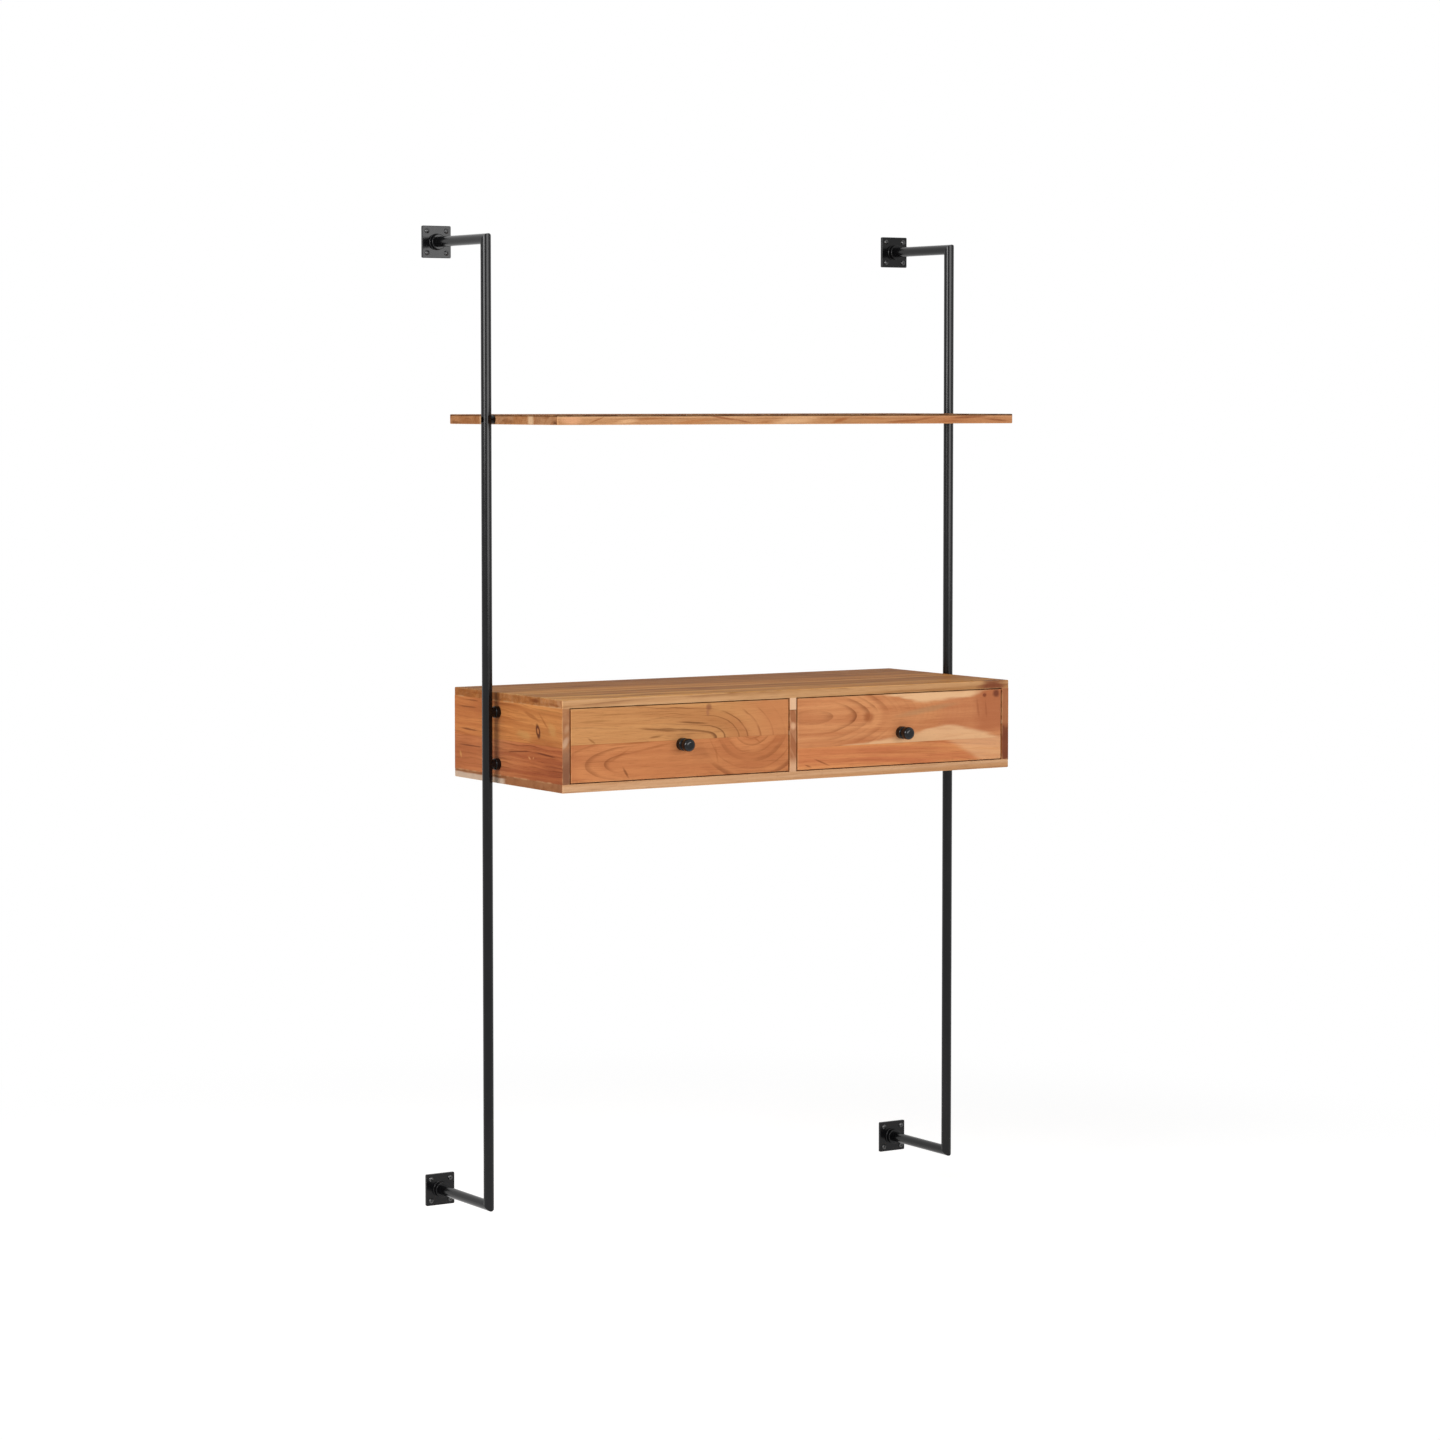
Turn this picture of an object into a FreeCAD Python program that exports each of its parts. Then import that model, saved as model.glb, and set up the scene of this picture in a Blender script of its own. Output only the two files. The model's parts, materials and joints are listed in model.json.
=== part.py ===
import FreeCAD, Part
import math
import os
import Sketcher

# A narrow writing desk with two drawers, and a shelf above it, hung between two tubular
# steel uprights whose arms end in flanges screwed to a wall.
# Frame: X to the right, Y towards the wall, Z up, in millimetres. The origin lies on the
# face of the wall, midway between the four flanges.

SIZES = {
    # steel uprights and their arms
    "tube_od": 16.0,
    "tube_wall": 1.5,
    "upright_height": 1500.0,
    "wall_reach": 160.0,
    "weld_gap": 0.1,
    "cut_overrun": 2.0,
    # wall flanges
    "flange_side": 50.0,
    "flange_thick": 4.0,
    "flange_corner": 2.0,
    "flange_edge": 0.8,
    "hub_od": 24.0,
    "hub_length": 8.0,
    "hub_edge": 1.0,
    "socket_play": 0.1,
    "wall_hole_dia": 4.5,
    "wall_hole_spacing": 34.0,
    # standoffs between the uprights and the desk, with their bolts
    "standoff_length": 11.5,
    "standoff_neck_dia": 15.0,
    "standoff_collar_dia": 18.0,
    "standoff_collar_length": 8.0,
    "standoff_edge": 1.0,
    "standoff_inset": 30.0,
    "desk_bolt_dia": 6.0,
    "desk_bolt_head_dia": 11.0,
    "desk_bolt_head_height": 3.3,
    "desk_bolt_end": 2.0,
    "bolt_play": 0.2,
    "washer_od": 14.0,
    "washer_thick": 1.2,
    # shelf and its fixings
    "shelf_surface_height": 1225.0,
    "shelf_depth": 334.0,
    "shelf_thick": 15.0,
    "shelf_spacer_length": 5.0,
    "shelf_spacer_dia": 12.0,
    "shelf_bolt_dia": 5.0,
    "shelf_bolt_head_dia": 8.5,
    "shelf_bolt_head_height": 4.0,
    "shelf_bolt_bite": 13.0,
    "access_play": 0.5,
    "insert_od": 9.0,
    "insert_length": 16.0,
    "insert_play": 0.1,
    # desk box
    "desk_surface_height": 800.0,
    "desk_width": 825.0,
    "desk_depth": 335.0,
    "desk_height": 140.0,
    "wall_gap": 20.0,
    "top_thick": 12.5,
    "bottom_thick": 13.0,
    "side_thick": 13.0,
    "divider_thick": 12.5,
    "board_ease": 1.5,
    "edge_ease": 0.8,
    "back_thick": 6.0,
    "back_inset": 8.0,
    "panel_groove_depth": 5.0,
    "panel_play": 0.2,
    "dowel_dia": 6.0,
    "dowel_length": 20.0,
    "dowel_board_depth": 8.0,
    "dowel_inset": 45.0,
    "dowel_play": 0.1,
    "hole_end_play": 0.3,
    # wooden drawer runners
    "runner_height": 18.0,
    "runner_engage": 6.0,
    "runner_end_play": 0.5,
    "runner_seat_gap": 0.2,
    "runner_play": 0.8,
    "runner_stop_length": 25.0,
    "runner_stop_gap": 0.3,
    "runner_screw_dia": 3.5,
    "runner_screw_head_dia": 7.0,
    "runner_screw_head_height": 2.6,
    "runner_screw_recess": 3.0,
    "runner_screw_bite": 9.0,
    "runner_screw_inset": 35.0,
    "runner_screw_stagger": 18.0,
    "screw_play": 0.1,
    # drawers
    "front_side_gap": 2.0,
    "front_top_gap": 1.5,
    "front_bottom_gap": 1.5,
    "front_thick": 15.0,
    "front_ease": 1.2,
    "drawer_side_gap": 8.0,
    "drawer_side_thick": 12.0,
    "drawer_side_rise": 6.0,
    "drawer_side_drop": 12.0,
    "drawer_rear_gap": 20.0,
    "drawer_back_thick": 12.0,
    "drawer_back_drop": 6.0,
    "drawer_bottom_thick": 5.0,
    "drawer_bottom_rise": 8.0,
    "drawer_groove_depth": 5.0,
    "drawer_dowel_dia": 6.0,
    "drawer_dowel_front_depth": 8.0,
    "drawer_dowel_side_depth": 16.0,
    "drawer_dowel_wall_depth": 5.0,
    "drawer_dowel_back_depth": 15.0,
    "drawer_dowel_low": 22.0,
    "drawer_dowel_high": 16.0,
    # turned knobs
    "knob_length": 27.0,
    "knob_base_dia": 19.6,
    "knob_base_thick": 9.5,
    "knob_neck_dia": 15.5,
    "knob_head_dia": 20.0,
    "knob_head_thick": 12.5,
    "knob_drop": 5.25,
    "knob_screw_dia": 4.0,
    "knob_screw_head_dia": 8.0,
    "knob_screw_head_height": 2.6,
    "knob_screw_bite": 12.0,
}

# How much of the head's thickness, the base's thickness and the step at the neck each
# rounding of a knob takes, and how much of its height the rounding of a bolt's head takes.
KNOB_HEAD_FRONT_SHARE = 0.5
KNOB_HEAD_BACK_SHARE = 0.12
KNOB_BASE_SHARE = 0.15
KNOB_NECK_SHARE = 0.3
BOLT_HEAD_SHARE = 0.6

# Lengths and places that follow from the sizes.
PLACES = {
    "tube_bore": "sizes.tube_od - 2 * sizes.tube_wall",
    "cope_dia": "sizes.tube_od + 2 * sizes.weld_gap",
    "upright_x": "sizes.desk_width / 2 + sizes.standoff_length + sizes.tube_od / 2",
    "upright_end": "sizes.upright_height / 2",
    "arm_z": "upright_end - sizes.tube_od / 2",
    "arm_tip": "sizes.wall_reach + sizes.tube_od / 2",
    "mitre_cut": "sizes.tube_od + 2 * sizes.cut_overrun",
    "wall_hole": "sizes.wall_hole_spacing / 2",
    "desk_bolt_hole": "sizes.desk_bolt_dia + 2 * sizes.bolt_play",
    "shelf_bolt_hole": "sizes.shelf_bolt_dia + 2 * sizes.bolt_play",
    "access_hole": "sizes.shelf_bolt_head_dia + 2 * sizes.access_play",
    # desk box
    "desk_left": "-sizes.desk_width / 2",
    "desk_front": "-sizes.wall_gap - sizes.desk_depth",
    "desk_top": "sizes.desk_surface_height - upright_end",
    "desk_bottom": "desk_top - sizes.desk_height",
    "opening_bottom": "desk_bottom + sizes.bottom_thick",
    "opening_top": "desk_top - sizes.top_thick",
    "opening_height": "opening_top - opening_bottom",
    "bay_width": "(sizes.desk_width - 2 * sizes.side_thick - sizes.divider_thick) / 2",
    "bay_x": "(sizes.divider_thick + bay_width) / 2",
    "side_x": "(sizes.desk_width - sizes.side_thick) / 2",
    "side_inner_x": "sizes.desk_width / 2 - sizes.side_thick",
    "bolt_y": "sizes.desk_depth + sizes.wall_gap - sizes.wall_reach",
    "standoff_high": "desk_top - sizes.standoff_inset",
    "standoff_low": "desk_bottom + sizes.standoff_inset",
    "panel_front": "sizes.desk_depth - sizes.back_inset - sizes.back_thick",
    "groove_front": "panel_front - sizes.panel_play",
    "groove_back": "panel_front + sizes.back_thick + sizes.panel_play",
    "panel_edge": "sizes.panel_groove_depth - sizes.panel_play",
    "dowel_hole": "sizes.dowel_dia + 2 * sizes.dowel_play",
    "dowel_side_depth": "sizes.dowel_length - sizes.dowel_board_depth",
    "dowel_front": "sizes.dowel_inset",
    "dowel_middle": "(sizes.dowel_inset + bolt_y) / 2",
    "dowel_back": "sizes.desk_depth - sizes.dowel_inset",
    # shelf
    "shelf_width": "2 * (upright_x - sizes.tube_od / 2 - sizes.shelf_spacer_length)",
    "shelf_bottom": "sizes.shelf_surface_height - upright_end - sizes.shelf_thick",
    "shelf_middle": "shelf_bottom + sizes.shelf_thick / 2",
    "shelf_bolt_seat": "upright_x - sqrt((tube_bore / 2) ^ 2 - (sizes.shelf_bolt_head_dia / 2) ^ 2)",
    "insert_hole": "sizes.insert_od + 2 * sizes.insert_play",
    # runners
    "runner_thick": "sizes.drawer_side_gap + sizes.runner_engage",
    "runner_bottom": "opening_bottom + (opening_height - sizes.runner_height) / 2",
    "runner_front": "sizes.front_thick + sizes.runner_stop_length + sizes.runner_stop_gap",
    "runner_length": "panel_front - runner_front",
    "runner_recess_dia": "sizes.runner_screw_head_dia + 2 * sizes.screw_play",
    "runner_screw_hole": "sizes.runner_screw_dia + 2 * sizes.screw_play",
    "runner_screw_seat": "runner_thick - sizes.runner_screw_recess",
    "runner_pilot": "sizes.runner_screw_bite + sizes.hole_end_play",
    # drawers
    "front_width": "bay_width - 2 * sizes.front_side_gap",
    "front_bottom": "opening_bottom + sizes.front_bottom_gap",
    "front_height": "opening_height - sizes.front_top_gap - sizes.front_bottom_gap",
    "front_back": "desk_front + sizes.front_thick",
    "box_width": "bay_width - 2 * sizes.drawer_side_gap",
    "box_inside": "box_width - 2 * sizes.drawer_side_thick",
    "box_bottom": "front_bottom + sizes.drawer_side_rise",
    "box_height": "front_height - sizes.drawer_side_rise - sizes.drawer_side_drop",
    "box_length": "panel_front - sizes.front_thick - sizes.drawer_rear_gap",
    "slide_low": "runner_bottom - box_bottom - sizes.runner_play",
    "slide_high": "runner_bottom - box_bottom + sizes.runner_height + sizes.runner_seat_gap",
    "slide_depth": "sizes.runner_engage + sizes.runner_end_play",
    "bottom_low": "sizes.drawer_bottom_rise - sizes.panel_play",
    "bottom_high": "sizes.drawer_bottom_rise + sizes.drawer_bottom_thick + sizes.panel_play",
    "bottom_edge": "sizes.drawer_groove_depth - sizes.panel_play",
    "back_low": "sizes.drawer_bottom_rise + sizes.drawer_bottom_thick",
    "back_height": "box_height - back_low - sizes.drawer_back_drop",
    "drawer_dowel_top": "box_height - sizes.drawer_dowel_high",
    "drawer_dowel_hole": "sizes.drawer_dowel_dia + 2 * sizes.dowel_play",
    "back_dowel_y": "box_length - sizes.drawer_back_thick / 2",
    "knob_height": "front_height / 2 - sizes.knob_drop",
    "knob_screw_hole": "sizes.knob_screw_dia + 2 * sizes.screw_play",
    "knob_bore_depth": "sizes.knob_screw_bite + sizes.hole_end_play",
    "knob_shoulder": "sizes.knob_length - sizes.knob_head_thick",
}

LEFT_AND_RIGHT = (("left", -1), ("right", 1))
BOTTOM_AND_TOP = (("bottom", -1), ("top", 1))
NORMALS = {"XY": "+Z", "XZ": "-Y", "YZ": "+X"}
EDGE_TOLERANCE = 1e-5

doc = FreeCAD.newDocument("floating_wall_desk")


def make_sheet(name, cells):
    """One row for each cell: its name, then its value under that name as an alias."""
    sheet = doc.addObject("Spreadsheet::Sheet", name)
    for row, (alias, text) in enumerate(cells.items(), start=1):
        sheet.set(f"A{row}", alias)
        sheet.set(f"B{row}", text)
        sheet.setAlias(f"B{row}", alias)
    doc.recompute()
    return sheet


sizes = make_sheet("sizes", {alias: str(size) for alias, size in SIZES.items()})
places = make_sheet("places", {alias: f"={formula}" for alias, formula in PLACES.items()})
nodes = []


def value(expression):
    return float(places.evalExpression(expression))


def new_body(label, at):
    """An empty body whose origin stands at the three expressions in at."""
    body = doc.addObject("PartDesign::Body", label)
    body.Label = label
    for axis, expression in zip("xyz", at):
        body.setExpression(f"Placement.Base.{axis}", expression)
    nodes.append(body)
    return body


def origin_plane(body, plane):
    return next(item for item in body.Origin.OriginFeatures if item.Role == f"{plane}_Plane")


def bind(sketch, constraint, expression):
    """Adds a named dimension that follows the expression."""
    index = sketch.addConstraint(constraint)
    name = f"size_{index}"
    sketch.renameConstraint(index, name)
    sketch.setExpression(f"Constraints.{name}", expression)


def bind_point(sketch, geometry, point, x, y):
    for kind, expression in (("DistanceX", x), ("DistanceY", y)):
        bind(sketch, Sketcher.Constraint(kind, -1, 1, geometry, point, value(expression)), expression)


def circle(diameter, x="0", y="0"):
    """Draws a circle about the point x, y."""

    def draw(sketch):
        centre = FreeCAD.Vector(value(x), value(y), 0)
        size = value(diameter)
        item = sketch.addGeometry(Part.Circle(centre, FreeCAD.Vector(0, 0, 1), size / 2))
        bind(sketch, Sketcher.Constraint("Diameter", item, size), diameter)
        bind_point(sketch, item, 3, x, y)

    return draw


def outline(*points):
    """Draws a closed line through the points."""

    def draw(sketch):
        corners = [FreeCAD.Vector(value(x), value(y), 0) for x, y in points]
        ends = corners[1:] + corners[:1]
        lines = [sketch.addGeometry(Part.LineSegment(a, b)) for a, b in zip(corners, ends)]
        for line, following in zip(lines, lines[1:] + lines[:1]):
            sketch.addConstraint(Sketcher.Constraint("Coincident", line, 2, following, 1))
        for line, (x, y) in zip(lines, points):
            bind_point(sketch, line, 1, x, y)

    return draw


def rectangle(left, low, right, high):
    return outline((left, low), (right, low), (right, high), (left, high))


def sketch_at(body, plane, place, shapes):
    """A sketch of the shapes, on the plane that stands at that place along its own axis."""
    sketch = body.newObject("Sketcher::SketchObject", f"{body.Label}_sketch")
    sketch.AttachmentSupport = (origin_plane(body, plane), [""])
    sketch.MapMode = "FlatFace"
    sign = "-" if NORMALS[plane].startswith("-") else ""
    sketch.setExpression("AttachmentOffset.Base.z", f"{sign}({place})")
    for draw in shapes:
        draw(sketch)
    return sketch


def pad(body, plane, place, along, length, shapes):
    """Material from the sketched shapes, grown along an axis such as +Z."""
    feature = body.newObject("PartDesign::Pad", f"{body.Label}_pad")
    feature.Profile = sketch_at(body, plane, place, shapes)
    feature.setExpression("Length", length)
    feature.Reversed = along != NORMALS[plane]
    doc.recompute()
    return feature


def pocket(body, plane, place, along, length, shapes):
    """A cut from the sketched shapes along an axis, or equally to both sides of the plane."""
    before = body.Shape.Volume
    feature = body.newObject("PartDesign::Pocket", f"{body.Label}_pocket")
    feature.Profile = sketch_at(body, plane, place, shapes)
    feature.setExpression("Length", length)
    if along == "both":
        feature.SideType = "Symmetric"
    else:
        feature.Reversed = along == NORMALS[plane]
    doc.recompute()
    if body.Shape.Volume >= before:
        raise ValueError(f"{feature.Label} removes nothing")
    return feature


def mirror(body, features, plane):
    feature = body.newObject("PartDesign::Mirrored", f"{body.Label}_mirror")
    feature.Originals = features
    feature.MirrorPlane = (origin_plane(body, plane), [""])
    body.Tip = feature
    doc.recompute()
    return feature


def in_plane(axis, place):
    """Picks the edges that lie where the axis has that place."""

    def picked(edge):
        low = getattr(edge.BoundBox, f"{axis}Min")
        high = getattr(edge.BoundBox, f"{axis}Max")
        return max(abs(low - value(place)), abs(high - value(place))) < EDGE_TOLERANCE

    return picked


def along_axis(axis):
    """Picks the straight edges that run along the axis."""

    def picked(edge):
        spread = [getattr(edge.BoundBox, f"{name}Length") for name in "XYZ" if name != axis]
        return max(spread) < EDGE_TOLERANCE

    return picked


def rim(diameter, axis, place):
    """Picks the full circles of that diameter that lie where the axis has that place."""
    level = in_plane(axis, place)

    def picked(edge):
        is_round = isinstance(edge.Curve, Part.Circle)
        return is_round and level(edge) and math.isclose(2 * edge.Curve.Radius, value(diameter))

    return picked


def ease(body, radius, *picks):
    """Rounds the edges that any of the picks takes."""
    base = body.Tip
    picked = [any(pick(edge) for pick in picks) for edge in base.Shape.Edges]
    feature = body.newObject("PartDesign::Fillet", f"{body.Label}_round")
    feature.Base = (base, [f"Edge{number}" for number, hit in enumerate(picked, start=1) if hit])
    feature.setExpression("Radius", radius)
    doc.recompute()
    return feature


def board(label, at, plane, width, height, thickness):
    """A board: its outline from one corner on an origin plane, padded by its thickness."""
    body = new_body(label, at)
    pad(body, plane, "0", NORMALS[plane], thickness, [rectangle("0", "0", width, height)])
    return body


def mitre_line(y_tip, z_tip, way):
    """The line of a mitre from its tip, up or down across the tube, run past both surfaces."""
    over = "sizes.cut_overrun"
    across = f"(sizes.tube_od + {over})"
    start = (f"{y_tip} - {over}", f"{z_tip} - ({way}) * {over}")
    end = (f"{y_tip} + {across}", f"{z_tip} + ({way}) * {across}")
    return start, end


def upright_tube(name, side):
    body = new_body(f"{name}_upright_tube", (f"{side} * places.upright_x", "-sizes.wall_reach", "0"))
    walls = [circle("sizes.tube_od"), circle("places.tube_bore")]
    pad(body, "XY", "-places.upright_end", "+Z", "sizes.upright_height", walls)
    start, end = mitre_line("-sizes.tube_od / 2", "places.upright_end", -1)
    waste = outline(start, end, (end[0], start[1]))
    top_cut = pocket(body, "YZ", "0", "both", "places.mitre_cut", [waste])
    mirror(body, [top_cut], "XY")
    inward, outward = ("-X", "+X") if side > 0 else ("+X", "-X")
    desk_holes = [circle("places.desk_bolt_hole", "0", f"places.standoff_{end}") for end in ("low", "high")]
    shelf_hole = circle("places.shelf_bolt_hole", "0", "places.shelf_middle")
    pocket(body, "YZ", "0", inward, "sizes.tube_od", desk_holes + [shelf_hole])
    access = circle("places.access_hole", "0", "places.shelf_middle")
    pocket(body, "YZ", "0", outward, "sizes.tube_od", [access])


def arm_tube(name, side, level_name, level):
    at = (f"{side} * places.upright_x", "0", f"{level} * places.arm_z")
    body = new_body(f"{name}_{level_name}_arm", at)
    walls = [circle("sizes.tube_od"), circle("places.tube_bore")]
    length = "places.arm_tip - sizes.flange_thick"
    pad(body, "XZ", "-sizes.flange_thick", "-Y", length, walls)
    start, end = mitre_line("-places.arm_tip", f"{level} * sizes.tube_od / 2", -level)
    waste = outline(start, (start[0], end[1]), end)
    pocket(body, "YZ", "0", "both", "places.mitre_cut", [waste])


def wall_flange(name, side, level_name, level):
    """A square plate with four screw holes and a hub that takes the end of an arm."""
    at = (f"{side} * places.upright_x", "0", f"{level} * places.arm_z")
    body = new_body(f"{name}_{level_name}_wall_flange", at)
    half = "sizes.flange_side / 2"
    plate = rectangle(f"-{half}", f"-{half}", half, half)
    pad(body, "XZ", "0", "-Y", "sizes.flange_thick", [plate])
    ease(body, "sizes.flange_corner", along_axis("Y"))
    ease(body, "sizes.flange_edge", in_plane("Y", "-sizes.flange_thick"))
    pad(body, "XZ", "-sizes.flange_thick", "-Y", "sizes.hub_length", [circle("sizes.hub_od")])
    hub_end = "-sizes.flange_thick - sizes.hub_length"
    hub_rims = [rim("sizes.hub_od", "Y", place) for place in (hub_end, "-sizes.flange_thick")]
    ease(body, "sizes.hub_edge", *hub_rims)
    socket = circle("sizes.tube_od + 2 * sizes.socket_play")
    socket_depth = "sizes.hub_length + sizes.cut_overrun"
    pocket(body, "XZ", "-sizes.flange_thick", "-Y", socket_depth, [socket])
    step = "places.wall_hole"
    corners = [(x, z) for x in (f"-{step}", step) for z in (f"-{step}", step)]
    holes = [circle("sizes.wall_hole_dia", x, z) for x, z in corners]
    pocket(body, "XZ", "0", "-Y", "sizes.flange_thick + sizes.cut_overrun", holes)


def desk_standoffs(name, side):
    """Two turned standoffs, coped to the upright, with a collar against the desk's side."""
    body = new_body(f"{name}_desk_standoffs", (f"{side} * places.upright_x", "-sizes.wall_reach", "0"))
    inward = "-X" if side > 0 else "+X"
    heights = ("places.standoff_low", "places.standoff_high")
    collar_start = "sizes.tube_od / 2 + sizes.standoff_length - sizes.standoff_collar_length"
    desk_face = "sizes.tube_od / 2 + sizes.standoff_length"
    collars = [circle("sizes.standoff_collar_dia", "0", z) for z in heights]
    pad(body, "YZ", f"{-side} * ({collar_start})", inward, "sizes.standoff_collar_length", collars)
    rims = [rim("sizes.standoff_collar_dia", "X", f"{-side} * ({x})") for x in (collar_start, desk_face)]
    ease(body, "sizes.standoff_edge", *rims)
    pad(body, "YZ", "0", inward, collar_start, [circle("sizes.standoff_neck_dia", "0", z) for z in heights])
    height = "2 * sizes.desk_height"
    middle = "(places.standoff_low + places.standoff_high) / 2"
    pocket(body, "XY", middle, "both", height, [circle("places.cope_dia")])
    bores = [circle("places.desk_bolt_hole", "0", z) for z in heights]
    pocket(body, "YZ", "0", inward, f"{desk_face} + sizes.cut_overrun", bores)


def desk_bolts():
    """Four bolts, from inside the desk box through its sides and standoffs into the uprights."""
    body = new_body("desk_bolts", ("0", "-sizes.wall_reach", "0"))
    heights = ("places.standoff_low", "places.standoff_high")
    seat = "places.side_inner_x - sizes.washer_thick"
    head_end = f"{seat} - sizes.desk_bolt_head_height"
    reach = "sizes.washer_thick + sizes.side_thick + sizes.standoff_length + sizes.tube_wall"
    heads = [circle("sizes.desk_bolt_head_dia", "0", z) for z in heights]
    head = pad(body, "YZ", seat, "-X", "sizes.desk_bolt_head_height", heads)
    shanks = [circle("sizes.desk_bolt_dia", "0", z) for z in heights]
    shank = pad(body, "YZ", seat, "+X", f"{reach} + sizes.desk_bolt_end", shanks)
    crown = f"{BOLT_HEAD_SHARE} * sizes.desk_bolt_head_height"
    mirror(body, [head, shank], "YZ")
    ends = [rim("sizes.desk_bolt_head_dia", "X", f"{sign}({head_end})") for sign in ("", "-")]
    ease(body, crown, *ends)


def desk_washers():
    body = new_body("desk_washers", ("0", "-sizes.wall_reach", "0"))
    heights = ("places.standoff_low", "places.standoff_high")
    rings = [circle(size, "0", z) for size in ("sizes.washer_od", "places.desk_bolt_hole") for z in heights]
    ring = pad(body, "YZ", "places.side_inner_x", "-X", "sizes.washer_thick", rings)
    mirror(body, [ring], "YZ")


def shelf_spacer(name, side):
    """A short sleeve, coped to the upright, between it and the end of the shelf."""
    at = (f"{side} * places.upright_x", "-sizes.wall_reach", "places.shelf_middle")
    body = new_body(f"{name}_shelf_spacer", at)
    inward = "-X" if side > 0 else "+X"
    reach = "sizes.tube_od / 2 + sizes.shelf_spacer_length"
    walls = [circle("sizes.shelf_spacer_dia"), circle("places.shelf_bolt_hole")]
    pad(body, "YZ", "0", inward, reach, walls)
    pocket(body, "XY", "0", "both", "2 * sizes.shelf_spacer_dia", [circle("places.cope_dia")])


def shelf_bolts():
    """Two bolts whose heads sit inside the uprights and whose ends are in the shelf's inserts."""
    body = new_body("shelf_bolts", ("0", "-sizes.wall_reach", "places.shelf_middle"))
    seat = "places.shelf_bolt_seat + sizes.weld_gap"
    tip = "places.shelf_width / 2 - sizes.shelf_bolt_bite"
    head = pad(body, "YZ", seat, "+X", "sizes.shelf_bolt_head_height", [circle("sizes.shelf_bolt_head_dia")])
    shank = pad(body, "YZ", seat, "-X", f"{seat} - ({tip})", [circle("sizes.shelf_bolt_dia")])
    mirror(body, [head, shank], "YZ")


def shelf_inserts():
    body = new_body("shelf_inserts", ("0", "-sizes.wall_reach", "places.shelf_middle"))
    walls = [circle("sizes.insert_od"), circle("places.shelf_bolt_hole")]
    sleeve = pad(body, "YZ", "places.shelf_width / 2", "-X", "sizes.insert_length", walls)
    mirror(body, [sleeve], "YZ")


def wall_shelf():
    front = "-sizes.wall_gap - sizes.shelf_depth"
    at = ("-places.shelf_width / 2", front, "places.shelf_bottom")
    body = board("wall_shelf", at, "XY", "places.shelf_width", "sizes.shelf_depth", "sizes.shelf_thick")
    faces = [in_plane("Z", place) for place in ("0", "sizes.shelf_thick")]
    ease(body, "sizes.board_ease", along_axis("Z"), *faces)
    depth = "sizes.insert_length + sizes.hole_end_play"
    hole = circle("places.insert_hole", "-sizes.wall_reach - (%s)" % front, "sizes.shelf_thick / 2")
    pocket(body, "YZ", "0", "+X", depth, [hole])
    pocket(body, "YZ", "places.shelf_width", "-X", depth, [hole])


def dowel_rows():
    """Where the dowels of the desk box stand, from the middle of its width and its front."""
    columns = ("-places.side_x", "0", "places.side_x")
    return [(x, f"places.dowel_{row}") for x in columns for row in ("front", "middle", "back")]


def cap_board(label, bottom, thickness, outer_face, inner_face, inwards):
    """The desk's top or bottom board, with dowel holes and the back panel's groove inside."""
    at = ("places.desk_left", "places.desk_front", bottom)
    body = board(label, at, "XY", "sizes.desk_width", "sizes.desk_depth", thickness)
    ease(body, "sizes.board_ease", along_axis("Z"), in_plane("Z", outer_face))
    middle = "sizes.desk_width / 2"
    reach = "places.side_inner_x + sizes.panel_groove_depth"
    left, right = f"{middle} - ({reach})", f"{middle} + {reach}"
    groove = rectangle(left, "places.groove_front", right, "places.groove_back")
    pocket(body, "XY", inner_face, inwards, "sizes.panel_groove_depth", [groove])
    holes = [circle("places.dowel_hole", f"{middle} + {x}", y) for x, y in dowel_rows()]
    pocket(body, "XY", inner_face, inwards, "sizes.dowel_board_depth + sizes.hole_end_play", holes)


def dowel_ends(body, x):
    """Dowel holes in the lower and upper ends of an upright board of the desk box."""
    holes = [circle("places.dowel_hole", x, f"places.dowel_{row}") for row in ("front", "middle", "back")]
    depth = "places.dowel_side_depth + sizes.hole_end_play"
    pocket(body, "XY", "0", "+Z", depth, holes)
    pocket(body, "XY", "places.opening_height", "-Z", depth, holes)


def screw_places(shift):
    """How far behind the desk's front the two screws of a runner stand."""
    first = f"places.runner_front + sizes.runner_screw_inset + {shift}"
    last = f"places.runner_front + places.runner_length - sizes.runner_screw_inset + {shift}"
    return first, last


def screw_pilots(body, face, along, shift):
    """Blind holes for a runner's screws in the board that carries it."""
    height = "places.runner_bottom - places.opening_bottom + sizes.runner_height / 2"
    holes = [circle("places.runner_screw_hole", y, height) for y in screw_places(shift)]
    pocket(body, "YZ", face, along, "places.runner_pilot", holes)


def desk_side(name, side):
    left = "places.desk_left" if side < 0 else "places.side_inner_x"
    at = (left, "places.desk_front", "places.opening_bottom")
    label = f"desk_{name}_side"
    body = board(label, at, "YZ", "sizes.desk_depth", "places.opening_height", "sizes.side_thick")
    ease(body, "sizes.edge_ease", along_axis("Z"))
    inner, outwards = ("sizes.side_thick", "-X") if side < 0 else ("0", "+X")
    groove = rectangle("places.groove_front", "0", "places.groove_back", "places.opening_height")
    pocket(body, "YZ", inner, outwards, "sizes.panel_groove_depth", [groove])
    dowel_ends(body, "sizes.side_thick / 2")
    heights = [f"places.standoff_{end} - places.opening_bottom" for end in ("low", "high")]
    holes = [circle("places.desk_bolt_hole", "places.bolt_y", z) for z in heights]
    pocket(body, "YZ", "0", "+X", "sizes.side_thick + sizes.cut_overrun", holes)
    screw_pilots(body, inner, outwards, "0")


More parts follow.
